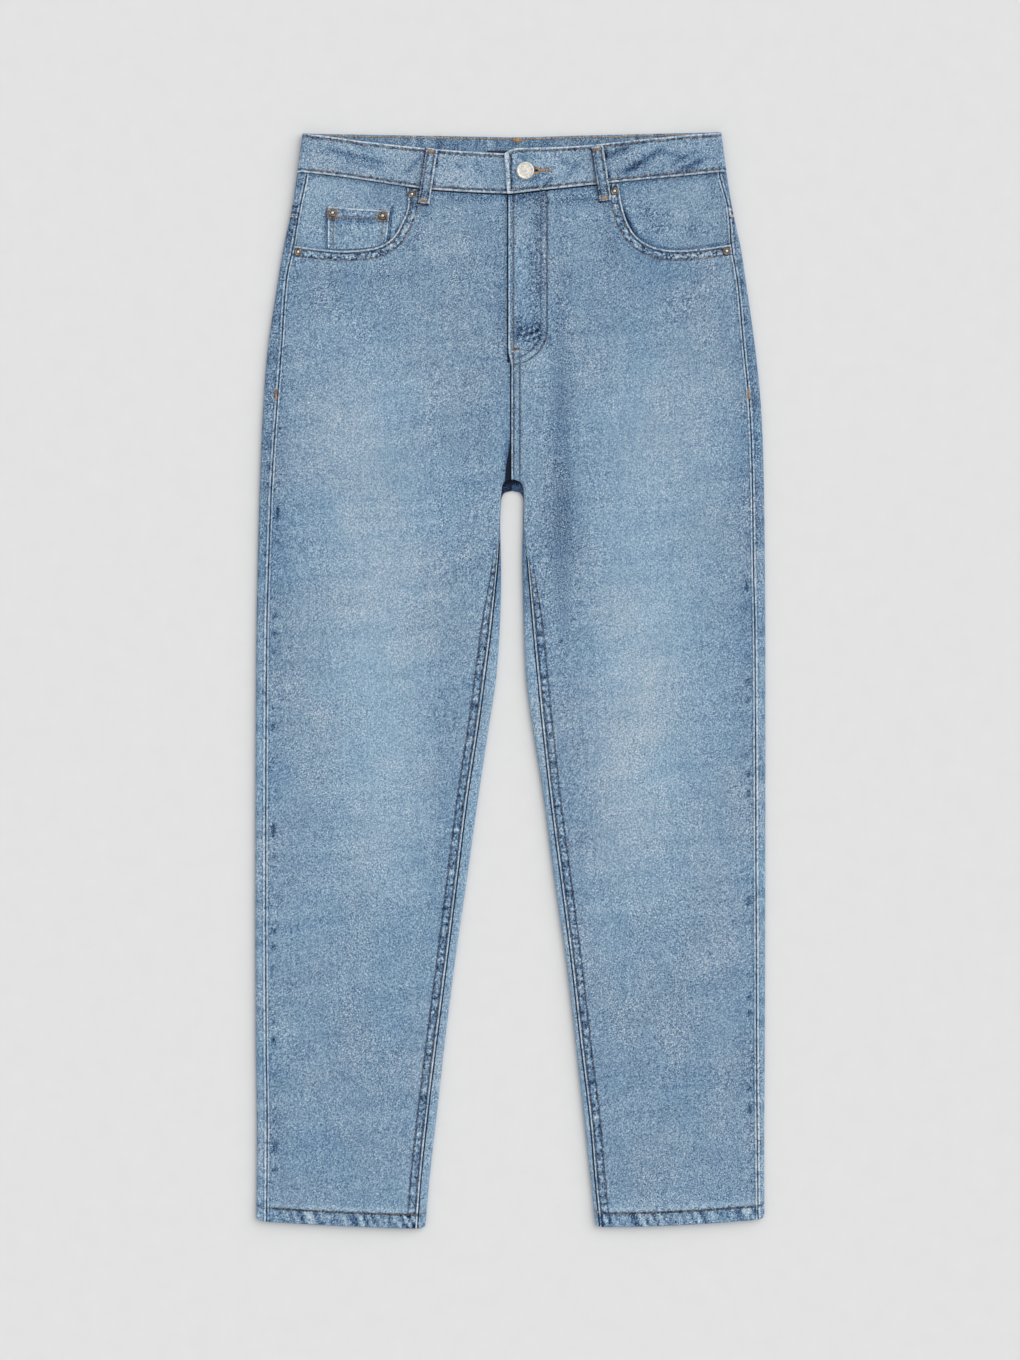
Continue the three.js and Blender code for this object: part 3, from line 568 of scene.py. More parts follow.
def front_marks(side, xi, y):
    """Wear, sewing and painted shade marks of a front panel: distances from its edges, gaps and rows of
    stitches
    """
    seed = 1.0 if side == "left" else 2.3
    x = SIDES[side] * xi
    to_side = side_seam(side, y) - xi
    seen_from = SEEN_FROM[side]
    to_inseam = np.where(y < seen_from, (xi - inseam(side, y)) / inseam_spread(y), FAR)
    to_opening, along = from_opening(side, xi, y)
    hem = hem_height(side, xi, y)
    below_band = BAND_FRONT[side](x, "bottom") - y
    above_fly = y - FLY_BOTTOM
    edge = np.minimum.reduce([to_side, to_inseam, to_opening])
    # a painted shadow line just below the waistband's edge, and painted shade spread below it
    gap = np.abs(below_band) - 0.1
    shade = 0.8 * bell(below_band, 4.5)
    rows = [to_opening - EDGE_ROW, to_opening - SECOND_ROW, hem - HEM_ROW]
    rows += [to_inseam - row for row in INSEAM_ROWS]
    if side == "left":
        edge = np.minimum(edge, np.abs(xi - centre_edge(side, y)))
        rows += [np.where(above_fly > -6, from_fly_line(x, y) - row, FAR) for row in FLY_ROWS]
        rows += [xi - RISE_ROWS[0], np.where(above_fly < 14, xi - RISE_ROWS[1], FAR)]
    else:
        # painted shadow line beside the fly's edge and the rise, widening to a wedge of painted shade
        # towards the crotch
        wedge = 4.5 * smoothstep(y, 230, 192)
        to_rise = np.abs(xi - centre_edge(side, y)) - wedge
        gap = np.minimum(gap, np.where(above_fly > 0, np.abs(xi + FLY_EDGE_X), to_rise))
        crotch = smoothstep(y, 240, 200) * (1 - smoothstep(xi, 1, 9))
        shade = shade + 0.35 * bell(xi, 5) * (y > 196) + 1.6 * crotch
    on_leg = 1 - smoothstep(y, seen_from - 24, seen_from)
    inseam_band = on_leg * between(to_inseam, (1.5, 3.5), (8, 11))
    pocket_band = between(to_opening, (2.2, 4), (7.5, 10))
    turned_hem = hem_band(hem)
    fly_band = between(x, (3, 6), (28, 36)) * smoothstep(above_fly, 6, 20)
    pale_strip = between(x, (3, 4.5), (16.5, 18)) * between(above_fly, (36, 46), (132, 150))
    fly_foot = between(x, (1.5, 4), (27, 33)) * bell(above_fly - 31, 10)
    knots = uneven(x + 0.7 * y, 10, 1.4) * uneven(y - 0.5 * x, 9, 0.6)
    beside_seam = bell(to_side - 6.5, 2.4) * smoothstep(y, 235, 150)
    spots = beside_seam * np.clip(uneven(y, 23, seed) * 2.6 - 1, 0, 1)
    rope = inseam_band * (0.75 * uneven(y, 9.5, seed) - 0.3) - 1.2 * spots
    rope += pocket_band * (0.6 * uneven(along, 8.5, seed) - 0.1)
    rope += turned_hem * (1.2 * uneven(x + 0.5 * hem, 11.5, seed + 1) - 0.2)
    rope += fly_band * (0.55 * uneven(y + 0.6 * x, 17, seed) * uneven(x, 21, 2) - 0.12)
    rope += fly_foot * (3 * knots - 0.55)
    return {
        "edge": edge,
        "gap": gap,
        "stitch": np.abs(rows).min(0),
        "rope": rope,
        "wash": wash_and_shade_of(x, y) + 0.55 * pale_strip + 0.9 * bell(hem - 17, 2.2),
        "shade": shade,
        "pucker": np.max([inseam_band, 1.4 * pocket_band, 0.6 * turned_hem, 0.35 * fly_band], axis=0),
    }


def front_relief(marks):
    """What sewing adds to the height of a front panel: ridges at its edges, bands beside them, puckers"""
    sewn = RIDGE * bell(marks["edge"] - 1, RIDGE_HALF) - GROOVE * bell(marks["stitch"], 0.9)
    return sewn + BAND_RISE * np.minimum(marks["pucker"], 1) + ROPE_RISE * marks["rope"]


def fly_shape(side, xi, y):
    if side == "left":
        return FLY_LIFT * (1 - smoothstep(from_fly_line(xi, y), 0.5, FLY_FADE))
    lap = (1 - smoothstep(xi, 3, 10)) * smoothstep(y, FLY_BOTTOM - 4, FLY_BOTTOM)
    crotch = smoothstep(y, *RIGHT_SINKS) * (1 - smoothstep(xi, 0, 9))
    return -UNDERLAP_DIP * lap - 1.6 * crotch


def front_z(side, xi, y):
    return top_z(side, xi, y) + fly_shape(side, xi, y) + front_relief(front_marks(side, xi, y))


# Marks painted on the cloth: the distance from its edge, from a gap drawn as a painted shadow line and from
# a row of stitches, then how much it is roped (with painted shade in creases and beside raised parts),
# puckered, washed out (with painted shade along folds) and darkened by painted shade. The number beside
# each is its value on plain cloth.
ATTRIBUTES = {"edge": FAR, "gap": FAR, "stitch": FAR, "rope": 0, "pucker": 0, "wash": 0, "shade": 0}


def new_object(name, points, faces, material):
    mesh = bpy.data.meshes.new(name)
    mesh.from_pydata((np.asarray(points) * MM).tolist(), [], faces)
    mesh.polygons.foreach_set("use_smooth", np.ones(len(mesh.polygons), bool))
    mesh.materials.append(material)
    piece = bpy.data.objects.new(name, mesh)
    bpy.context.scene.collection.objects.link(piece)
    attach(piece, "root")
    return piece


def paint(piece, name, values):
    layer = piece.data.attributes.new(name, "FLOAT", "POINT")
    layer.data.foreach_set("value", np.asarray(values, np.float32).ravel())


def wall_faces(cells):
    """Faces of a closed wall between two grids of points; `cells` says which cells of the grid are cloth"""
    rows, columns = cells.shape[0] + 1, cells.shape[1] + 1
    over = np.arange(rows * columns).reshape(rows, columns)
    under = over + rows * columns
    around = np.pad(cells, 1)
    corners = [over[:-1, :-1], over[:-1, 1:], over[1:, 1:], over[1:, :-1]]
    faces = [np.stack(corners, -1)[cells]]
    faces.append(np.stack([corner + rows * columns for corner in corners[::-1]], -1)[cells])
    across = [over[:, 1:], over[:, :-1], under[:, :-1], under[:, 1:]]
    down = [over[:-1], over[1:], under[1:], under[:-1]]
    sides = [
        (across, around[:-1, 1:-1], around[1:, 1:-1]),
        (down, around[1:-1, :-1], around[1:-1, 1:]),
    ]
    for strip, before, after in sides:
        faces.append(np.stack(strip, -1)[after & ~before])
        faces.append(np.stack(strip[::-1], -1)[before & ~after])
    return np.concatenate(faces)


def cloth(name, node, outer, inner, marks, material, cells=None, inside_marks=None):
    """A thin closed shell between two grids of points, in a node's place, with the marks of its faces"""
    rows, columns = outer.shape[:2]
    if cells is None:
        cells = np.ones((rows - 1, columns - 1), bool)
    points = np.concatenate([outer.reshape(-1, 3), inner.reshape(-1, 3)])
    faces = wall_faces(cells)
    a, b, c, d = (points[faces[:, corner]] for corner in range(4))
    if np.sum(a * (np.cross(b, c) + np.cross(c, d))) < 0:
        faces = faces[:, ::-1]
    piece = new_object(name, points, faces.tolist(), material)
    for attribute, far in ATTRIBUTES.items():
        values = [face.get(attribute, far) for face in (marks, inside_marks or {})]
        paint(piece, attribute, [np.broadcast_to(value, (rows, columns)) for value in values])
    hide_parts(node)
    return piece


def rounding(distance, wall):
    """How far a face drops towards a rounded edge"""
    radius = 0.46 * wall
    inset = np.clip(radius - distance, 0, radius)
    return radius - np.sqrt(radius * radius - inset * inset)


def grid_points(side, sections, y):
    """Outer and inner points of a panel from its sections"""
    outer_xi, outer_z, inner_xi, inner_z = np.moveaxis(sections, -1, 0)
    return points_at(SIDES[side] * outer_xi, y, outer_z), points_at(SIDES[side] * inner_xi, y, inner_z)


def leg_rows():
    """Heights of a panel's rows below the pockets, close together at the crotch and at the hem"""
    steps = [(POCKET_ROW - 2.5, 204, -2.5), (204, 160, -1.1), (160, -486, -2.5), (-486, HEM_Y + 2.2, -1.2)]
    at_hem = HEM_Y + np.array([1.6, 0.9, 0.35, 0])
    return np.concatenate([*(np.arange(*step) for step in steps), at_hem])


FRONT_FOLD_CELLS = 4
FRONT_FLAT_CELLS = 9
FRONT_COLUMNS = FRONT_FOLD_CELLS + FRONT_FLAT_CELLS
FRONT_FOLD_REACH = 20
# The xi of the columns beside the fly, above the crotch
FLY_STOPS = {"right": [-UNDERLAP_X, 3, 10, 20, 46], "left": [FLY_EDGE_X, 9, 20, 34, 46]}
BAND_COLUMN = 6
FLAT_WIDTH = 190
NEAR_SEAM = np.array([0, 0.35, 0.8, 1.3, 1.8, 2.4, 3.2, 4.2, 5.5, 7, 9, 11.5, 14.5])


def front_columns():
    """Columns of a front panel, counted in the solid's and close together beside both seams"""
    away = np.concatenate([NEAR_SEAM, np.arange(19, FLAT_WIDTH, 4.6)])
    flat = FRONT_COLUMNS - FRONT_FLAT_CELLS * away / FLAT_WIDTH
    folded = np.concatenate([[0, 0.03, 0.07, 0.12], np.arange(0.18, FRONT_FOLD_CELLS, 0.18)])
    return np.unique(np.concatenate([folded, flat, [4, 5, BAND_COLUMN]]))


def front_section(side, y, column):
    seam = side_seam(side, y) - SEAM_HALF
    radius = fold_radius(y)
    edge = inner_edge(side, y)
    share = np.minimum(column / FRONT_FOLD_CELLS, 1)
    rest = np.maximum(column - FRONT_FOLD_CELLS, 0) / FRONT_FLAT_CELLS
    stops = FLY_STOPS[side]
    near_centre = lerp(centre_edge(side, y), stops[1], np.minimum(column, 1))
    by_stop = np.interp(column, range(1, FRONT_FOLD_CELLS + 1), stops[1:])
    flat_xi = lerp(np.where(column < 1, near_centre, by_stop), seam, rest)
    first = path_to(inseam(side, y) - edge, radius) + SEAM_HALF
    last = path_to(FRONT_FOLD_REACH, radius)
    folded = fold_section(side, y, lerp(first, last, share), edge, 1)
    on_top = top_section(side, lerp(edge + FRONT_FOLD_REACH, seam, rest), y)
    leg = np.where((column <= FRONT_FOLD_CELLS)[..., None], folded, on_top)
    turned = parted(CROTCH_FRONT, y)[..., None]
    return lerp(top_section(side, flat_xi, y), leg, turned)


def front_top(side, column):
    """The top of a front panel: along the waistband, then down the pocket's scoop to the side seam"""
    scoop_xi, scoop_y = opening_at(side, np.clip(column - BAND_COLUMN, 0, OPENING_ROWS))
    stops = [*FLY_STOPS[side], 72, float(opening(0, side + "_xi"))]
    on_band = np.interp(column, range(BAND_COLUMN + 1), stops)
    xi = np.where(column <= BAND_COLUMN, on_band, scoop_xi)
    band = BAND_FRONT[side](SIDES[side] * xi, "bottom") - GAP
    return xi, np.where(column <= BAND_COLUMN, band, scoop_y)


def front_panel(side, material):
    columns = front_columns()
    shares = np.concatenate([[0, 0.006, 0.014, 0.026], np.linspace(0.045, 1, 27)])[:, None]
    top_xi, top_y = front_top(side, columns)
    below = front_section(side, np.full(columns.shape, float(POCKET_ROW)), columns)[..., 0]
    y_top = lerp(top_y, float(POCKET_ROW), shares)
    seam = side_seam(side, y_top) - SEAM_HALF
    spacing = 0.6 * (FRONT_COLUMNS - columns) * FLAT_WIDTH / FRONT_FLAT_CELLS
    xi_top = np.minimum(lerp(top_xi, below, shares), seam - spacing)
    xi_top[:, -1] = seam[:, -1]
    rows = leg_rows()[:, None] + 0 * columns
    lower = front_section(side, rows, columns + 0 * rows)
    sections = np.concatenate([top_section(side, xi_top, y_top), lower])
    y = np.concatenate([y_top, level_of(side, lower[..., 0], rows)])
    xi = sections[..., 0]
    marks = front_marks(side, xi, y)
    added = fly_shape(side, xi, y)
    sections[..., 1] += added + front_relief(marks)
    fly_wall = (FLY_WALL - CLOTH) * added / FLY_LIFT if side == "left" else 0
    sections[..., 3] += added - fly_wall
    free_edge = np.minimum(from_opening(side, xi, y)[0], hem_height(side, xi, y))
    sections[..., 1] -= rounding(np.maximum(free_edge, 0), cloth_wall(y))
    return cloth(f"denim_front_{side}", f"front_{side}", *grid_points(side, sections, y), marks, material)


# Back panels and yokes. Columns run from the side seam, over the outer fold, across the underside and,
# on a leg, up round the inner fold to the inseam.
BACK_FOLD_CELLS = 6
BACK_INNER_CELLS = 5
BACK_SEAT_STRIP = 7
SEAT_STOPS = [177, 167, 95, 23, 14.5]  # the xi of the flat columns, above the crotch
SEAT_TOP_X = 6
SEAT_LOW_X = 1.4
YOKE_CENTRE_Y = 404
YOKE_SIDE_Y = 441
WIDEST_STOP = 225
BACK_FLAT_CELLS = len(SEAT_STOPS) + 1
BACK_COLUMNS = BACK_FOLD_CELLS + BACK_FLAT_CELLS + BACK_INNER_CELLS
BACK_CUTS = [4, 4, 4, 4, 4, 4, 9, 2, 14, 14, 2, 2, 3, 3, 3, 3, 3]  # columns in each of the solid's cells


def back_columns():
    """Columns of a back panel, counted in the solid's"""
    parts = [cell + np.arange(cuts) / cuts for cell, cuts in enumerate(BACK_CUTS)]
    return np.concatenate([*parts, [BACK_COLUMNS]])


def seat_edge(side, y):
    up = np.clip((y - CROTCH_BACK[0]) / (YOKE_SIDE_Y - CROTCH_BACK[0]), 0, 1)
    return SIDES[side] * lerp(SEAT_LOW_X, SEAT_TOP_X, up) + GAP / 2


def yoke_seam(xi):
    return lerp(YOKE_CENTRE_Y, YOKE_SIDE_Y, np.clip(xi / 205, 0, 1) ** 1.2)


def back_section(side, y, column):
    edge = outer_edge(side, y)
    radius = fold_radius(y)
    quarter = radius * math.pi / 2
    turned = parted(CROTCH_BACK, y)
    start = path_to(edge - side_seam(side, y), radius) - SEAM_HALF
    outer_share = np.clip(column / BACK_FOLD_CELLS, 0, 1)
    outer_fold = fold_section(side, y, lerp(start, -quarter, outer_share), edge, -1)
    seat = seat_edge(side, y)
    inner = inner_edge(side, y)
    narrowest = inner + radius
    stop_columns = BACK_FOLD_CELLS + 1 + np.arange(len(SEAT_STOPS))
    stop = np.interp(column, stop_columns, SEAT_STOPS)
    share = (stop - BACK_SEAT_STRIP) / (WIDEST_STOP - BACK_SEAT_STRIP)
    stop_xi = lerp(stop, lerp(narrowest, edge - radius, share), turned)
    first_flat = np.clip(column - BACK_FOLD_CELLS, 0, 1)
    flat_xi = lerp(edge - radius, stop_xi, first_flat)
    strip_xi = lerp(seat + BACK_SEAT_STRIP, narrowest, turned)
    last_flat = np.clip(column - stop_columns[-1], 0, 1)
    flat = under_section(side, lerp(flat_xi, strip_xi, last_flat), y)
    inner_share = np.clip((column - BACK_FOLD_CELLS - BACK_FLAT_CELLS) / BACK_INNER_CELLS, 0, 1)
    strip = under_section(side, lerp(seat + BACK_SEAT_STRIP, seat, inner_share), y)
    end = path_to(inseam(side, y) - inner, radius) - SEAM_HALF
    inner_fold = fold_section(side, y, lerp(-quarter, end, inner_share), inner, 1)
    last = lerp(strip, inner_fold, turned[..., None])
    on_outer = (column <= BACK_FOLD_CELLS)[..., None]
    on_last = (column >= BACK_FOLD_CELLS + BACK_FLAT_CELLS)[..., None]
    return np.where(on_outer, outer_fold, np.where(on_last, last, flat))


def back_marks(side, sections, y, column):
    """Wear, sewing and painted shade marks of a back panel or yoke"""
    seed = 3.1 if side == "left" else 4.4
    xi, z = sections[..., 0], sections[..., 1]
    x = SIDES[side] * xi
    on_top = z > floor_z(y) + fold_radius(y)
    on_leg = y < CROTCH_BACK[1]
    outside = column < BACK_FOLD_CELLS + 2
    on_strip = outside & on_top
    to_side = np.where(on_strip, xi - side_seam(side, y), FAR)
    to_inseam = np.where(~outside & (y < SEEN_FROM[side]) & on_top, inseam(side, y) - xi, FAR)
    hem = hem_height(side, xi, y)
    to_yoke = np.abs(y - yoke_seam(xi))
    to_seat = np.where(~on_leg & ~outside, np.abs(xi - seat_edge(side, y)), FAR)
    rows = [hem - HEM_ROW, *[seam - row for seam in (to_yoke, to_seat) for row in (EDGE_ROW, SECOND_ROW)]]
    yoke_band = 1 - smoothstep(to_yoke, 7.5, 10)
    seat_band = 1 - smoothstep(to_seat, 7.5, 10)
    rope = hem_band(hem) * uneven(x + 0.5 * hem, 11.5, seed)
    rope += 0.6 * yoke_band * uneven(x, 9, seed) + 0.6 * seat_band * uneven(y, 9, seed)
    rope -= on_strip * 0.5 * np.clip(uneven(y, 27, seed) + 0.4 * uneven(xi, 7, 1), 0, 1)
    # painted shade in the crotch, lighter at one small patch, and on the inner strips rolled up beside the
    # legs' gap
    crotch = bell(np.abs(y - 176) - 6, 16) * (xi < 16) * (1 - 0.6 * bell(np.hypot(x - 6, y - 184), 5))
    rolled = smoothstep(y, 20, 120) * (y < 176) * ~outside * on_top
    return {
        "edge": np.min([np.abs(to_side - 1.25), to_yoke, to_seat], axis=0),
        # painted shadow lines in the side seam's and the inseam's gaps
        "gap": np.minimum(to_side, to_inseam),
        "stitch": np.abs(rows).min(0),
        "rope": rope,
        "pucker": np.max([0.6 * hem_band(hem), yoke_band, seat_band], axis=0),
        "wash": np.where(on_top, 0.4 - 1.1 * on_strip * smoothstep(y, -60, 250), 0.6 * wash_and_shade_of(x, y)),
        "shade": 1.4 * crotch + 0.9 * rolled,
    }


def back_rows(part, side, heights, material):
    """A back panel or yoke. `heights` gives y at each row from xi and the column."""
    column = back_columns()[None, :]
    y = []
    for height in heights:
        start = height(210.0 + 0 * column, column)
        near = back_section(side, start, column)[..., 0]
        y.append(height(near, column) + 0 * column)
    y = np.concatenate(y)
    column = column + 0 * y
    sections = back_section(side, y, column)
    marks = back_marks(side, sections, y, column)
    hem = np.maximum(hem_height(side, sections[..., 0], y), 0)
    over = sections[..., 1] > floor_z(y) + fold_radius(y)
    relief = np.where(over, ROPE_RISE * marks["rope"] + SOFT_RIDGE * bell(marks["edge"] - 1, RIDGE_HALF), 0)
    sections[..., 1] += relief - np.where(over, 1, -1) * rounding(hem, cloth_wall(y))
    faces = grid_points(side, sections, y)
    # painted shade on the inside of the back panel, seen between the legs, darkest in a line at the crotch
    in_crotch = 2.2 * bell(y - 189, 2.2) + 0.9 * smoothstep(y, 160, 175) * (side == "right")
    hollow = {"shade": 1.5 * smoothstep(y, 120, 160) + in_crotch}
    return cloth(f"denim_{part}_{side}", f"{part}_{side}", *faces, marks, material, inside_marks=hollow)


def back_panel(side, material):
    def seam_row(share):
        return lambda xi, column: lerp(yoke_seam(xi) - GAP / 2, float(POCKET_ROW), share)

    def leg_row(row):
        return lambda xi, column: level_of(side, xi, row + 0 * xi)

    heights = [seam_row(share) for share in np.linspace(0, 1, 18)]
    heights += [leg_row(row) for row in leg_rows()]
    return back_rows("back", side, heights, material)


def yoke(side, material):
    def row(share):
        def height(xi, column):
            x = SIDES[side] * xi
            front = BAND_FRONT[side](x, "bottom")
            back = band_back(x, "top") - BAND_HEIGHT
            high = lerp(front, back, np.clip(column / BACK_FOLD_CELLS, 0, 1)) - 1.5 * GAP
            return lerp(high, yoke_seam(xi) + GAP / 2, share)

        return height

    heights = [row(share) for share in np.linspace(0, 1, 24)]
    return back_rows("yoke", side, heights, material)


# Belt loops: the middle of each front one's upper and lower end, the x of each back one
FRONT_LOOPS = {
    "right": ((-75, 504.4), (-83.2, 450.8)),
    "left": ((81.8, 506.2), (89.8, 453.4)),
}
BACK_LOOPS = {"belt_loop_side_right": -128, "belt_loop_back": 6.5, "belt_loop_side_left": 134}
BACK_LOOP_TACK_Y = 512.6
LOOP_SLACK = 0.8
LOOP_LENGTH = 54


# The waistband: columns run from the tab's end over the left fold, the back and the right fold to the
# underlap, which ends under the tab.
TAB_END = (-3.4, -6.2)
UNDERLAP_END = 25
TAB_LIFT = BAND_WALL + GAP
TAB_RAMP = 30
TAB_START = -5
TAB_WEAR = 2.4  # the tab's end is worn over a wider strip than its other edges
LOOP_SHADE_PLACES = ((-79, 486), (86, 486))  # places of the waistband beside the front loops, painted with shade
BUTTON = {"x": 14, "y": 483, "radius": 8.5, "shank_radius": 1.4}
BUTTONHOLE = {"from": 12.6, "to": 25.8, "point": 38, "half_width": 1.6}


def tab_lift(x):
    return TAB_LIFT * (1 - smoothstep(x, UNDERLAP_END + 2, UNDERLAP_END + 2 + TAB_RAMP))


def band_front_z(side, x, y):
    lift = tab_lift(x) if side == "left" else 0
    return TAB_BASE + lift + fold_height(x, y, BAND_FOLDS) * 0.8


def band_stations():
    """Columns of the waistband: kind, side, and x or the angle round a fold"""
    tab = [TAB_START, -4.6, -4, -3, -1.6, 0.4, 3, 6, 9, BUTTONHOLE["from"], BUTTONHOLE["to"]]
    angles = np.linspace(math.pi / 2, -math.pi / 2, 17)
    stations = [("front", "left", x) for x in [*tab, *np.arange(29, 198, 3.2)]]
    stations += [("fold", "left", angle) for angle in angles]
    stations += [("back", "", x) for x in np.arange(192, -192, -4.0)]
    stations += [("fold", "right", angle) for angle in angles[::-1]]
    stations += [("front", "right", x) for x in [*np.arange(-195, 24, 3.2), UNDERLAP_END]]
    return stations


def band_column(station, share):
    """Outer and inner points of one column, from the lower edge to the upper"""
    kind, side, at = station
    if kind == "fold":
        high, low = (outline(y, side + "_edge") for y in BAND_ENDS)
        edge = SIDES[side] * lerp(low, high, share)
        back_share = 0.5 - at / math.pi
        front = BAND_FRONT[side]
        top = band_back(edge, "top")
        bottom = lerp(front(edge, "bottom"), top - BAND_HEIGHT, back_share)
        y = lerp(bottom, lerp(front(edge, "top"), top, back_share), share)
        faces = []
        for radius in (BAND_FOLD_R, BAND_FOLD_R - BAND_WALL):
            x = edge - SIDES[side] * (BAND_FOLD_R - radius * math.cos(at))
            faces.append(points_at(x, y, BAND_LIFT + BAND_FOLD_R + radius * math.sin(at)))
        return faces
    if kind == "back":
        top = band_back(at, "top")
        y = lerp(top - BAND_HEIGHT, top, share)
        soft = rounding(from_band_edge(share), BAND_WALL)
        return [points_at(at, y, BAND_LIFT + z) for z in (soft, BAND_WALL - soft)]
    in_tab = at - TAB_START if side == "left" else FAR
    lying = lerp(*TAB_END, share) + in_tab if side == "left" and at < 0 else at + 0 * share
    y = lerp(BAND_FRONT[side](lying, "bottom"), BAND_FRONT[side](lying, "top"), share)
    edge = np.minimum(from_band_edge(share), in_tab)
    soft = rounding(edge, BAND_WALL)
    sewn = SOFT_RIDGE * bell(edge - 1, RIDGE_HALF) - 0.2 * bell(np.abs(edge - BAND_ROW), 0.9)
    base = TAB_BASE + (tab_lift(lying) if side == "left" else 0) - BAND_WALL
    return points_at(lying, y, band_front_z(side, lying, y) + sewn - soft), points_at(lying, y, base + soft)


def from_band_edge(share):
    return np.minimum(share, 1 - share) * BAND_HEIGHT


ON_TAB = ["front", "left"]


def shadow_beside_loops(x, y):
    """A painted shadow line just past each front loop's +X side"""
    dark = 0
    for (top_x, top_y), (low_x, low_y) in FRONT_LOOPS.values():
        share = np.clip((top_y - y) / (top_y - low_y), 0, 1)
        past = x - lerp(top_x, low_x, share) - LOOP_WIDTH / 2
        dark = dark + bell(past - 0.8, 1.1)
    return dark


def band_marks(stations, outer, shares):
    """Wear, sewing and painted shade marks of the waistband's outer face"""
    x, y = outer[..., 0], outer[..., 1]
    edge = np.broadcast_to(from_band_edge(shares)[:, None], x.shape)
    tab = np.array([at - TAB_START if station[:2] == ON_TAB else FAR for *station, at in stations])
    edge = np.minimum(edge, tab / TAB_WEAR)
    is_front = np.array([kind != "back" for kind, *_ in stations])
    folds = fold_height(x, y, BAND_FOLDS) * is_front
    band = 1 - smoothstep(edge, 3.5, 6)
    rope = 0.45 * band * uneven(x + 0.3 * y, 8, 1.7)
    past_hole = np.clip(x, BUTTONHOLE["from"], BUTTONHOLE["point"])
    around_hole = bell(np.hypot(x - past_hole, y - BUTTON["y"]), 3.4)
    loop_shade = sum(bell(np.hypot(x - at_x, (y - at_y) / 2.2), 5.5) for at_x, at_y in LOOP_SHADE_PLACES)
    return {
        "edge": edge,
        "stitch": np.where(tab < TAB_ROW + 3, np.abs(tab - TAB_ROW), np.abs(edge - BAND_ROW)),
        "pucker": 0.25 + 0.5 * band,
        # creases painted darker in their troughs and lighter on their ridges as shade and light, and a
        # painted shadow beside each loop
        "rope": rope + 2.2 * folds - 1.8 * shadow_beside_loops(x, y),
        "wash": np.where(is_front, -0.1 + 0.35 * np.sin(0.045 * x + 1) * np.sin(0.09 * y), -0.2),
        # painted shade under the front loops and round the buttonhole, and darker towards the +X end
        "shade": (0.35 * loop_shade + 0.9 * around_hole) * is_front + 0.2 * smoothstep(x, 60, 120),
    }


def waistband(material):
    hole = BUTTONHOLE
    stations = band_stations()
    near = np.array([0, 0.3, 0.8, 1.4, 2.1, 3.2, 4.4, 6]) / BAND_HEIGHT
    bottom, top = (float(BAND_FRONT["left"](BUTTON["x"], edge)) for edge in ("bottom", "top"))
    slot = [(BUTTON["y"] + way * hole["half_width"] - bottom) / (top - bottom) for way in (-1, 1)]
    shares = np.unique(np.concatenate([near, 1 - near, np.linspace(0.2, 0.8, 11), slot]))
    columns = [band_column(station, shares) for station in stations]
    outer, inner = (np.stack([column[face] for column in columns], 1) for face in (0, 1))
    cells = np.ones((len(shares) - 1, len(stations) - 1), bool)
    column = stations.index(("front", "left", hole["from"]))
    first, last = (int(np.argmin(np.abs(shares - share))) for share in slot)
    cells[first:last, column] = False
    along = np.linspace(0, 860, len(stations))
    marks = band_marks(stations, outer, shares)
    # the inside of the back is painted darker with shade, and blotched
    inside = {"shade": 0.62, "rope": 0.95 * uneven(along, 13, 2) * uneven(along, 37, 1)}
    return cloth("denim_waistband", "waistband", outer, inner, marks, material, cells, inside)


# Pieces that lie on or under a panel
def fine_shares(length, fine=(0, 0.25, 0.6, 1.1, 1.8, 2.6, 3.6), step=2.4):
    """Shares of a length, close together at both ends"""
    ends = np.array(fine) / length
    middle = np.linspace(ends[-1], 1 - ends[-1], max(int(length / step), 2))
    return np.unique(np.concatenate([ends, middle, 1 - ends]))


def from_rim(u, v, width, length):
    return np.minimum(np.minimum(u, 1 - u) * width, np.minimum(v, 1 - v) * length)


def slab(name, u, v, place, material, node):
    """A shell from `place`, which gives x, y, the two heights and the marks at each share"""
    x, y, high, low, marks = place(*np.meshgrid(u, v))
    return cloth(name, node, points_at(x, y, high), points_at(x, y, low), marks, material)


def facing_z(side, xi, y):
    """The top of a pocket facing, which dips under the front panel"""
    end_y = opening(OPENING_ROWS, side + "_y")
    from_seam = smoothstep(side_seam(side, y) - xi, 1, 12)
    near_front = 1 - smoothstep(y, end_y + 2, end_y + 14)
    return top_z(side, xi, y) - FACING_DIP * np.maximum(from_seam, near_front)


# Faded and dark diagonals of the pocket facings, with painted shade along the +X pocket's opening: the same
# columns as the folds
FACING_FADE_AND_SHADE = [
    [150, 440, 190, 470, 12, 1],
    [-140, 462, -100, 450, 14, -1],
    [124, 452, 150, 424, 8, -0.8],
    [170, 416, 174, 442, 7, -1.3],
]
COIN = {
    "outer": 174,
    "inner_top": 113.5,
    "inner_low": 117,
    "y_outer": 449.5,
    "y_inner": 445.2,
    "height": 38,
    "wall": 1,
    "rim": 1.6,
    "square": 9.2,  # of stitches round each rivet
    "row": 8.6,  # of stitches, from its top
    "side_row": 6.5,  # from its sides
}
COIN_RIVETS = ((169, 443.4), (121.5, 440.6))  # xi and y


def shadow_beside_coin(x, y):
    """A painted shadow line on the facing along both sides of the coin pocket"""
    low = COIN["y_inner"] - COIN["height"]
    inner = lerp(COIN["inner_low"], COIN["inner_top"], np.clip((y - low) / COIN["height"], 0, 1))
    below_top = smoothstep(COIN["y_outer"] + 1 - y, 0, 2)
    return below_top * (bell(x + inner - 0.9, 1.1) + 0.7 * bell(x + COIN["outer"] + 0.8, 0.9))


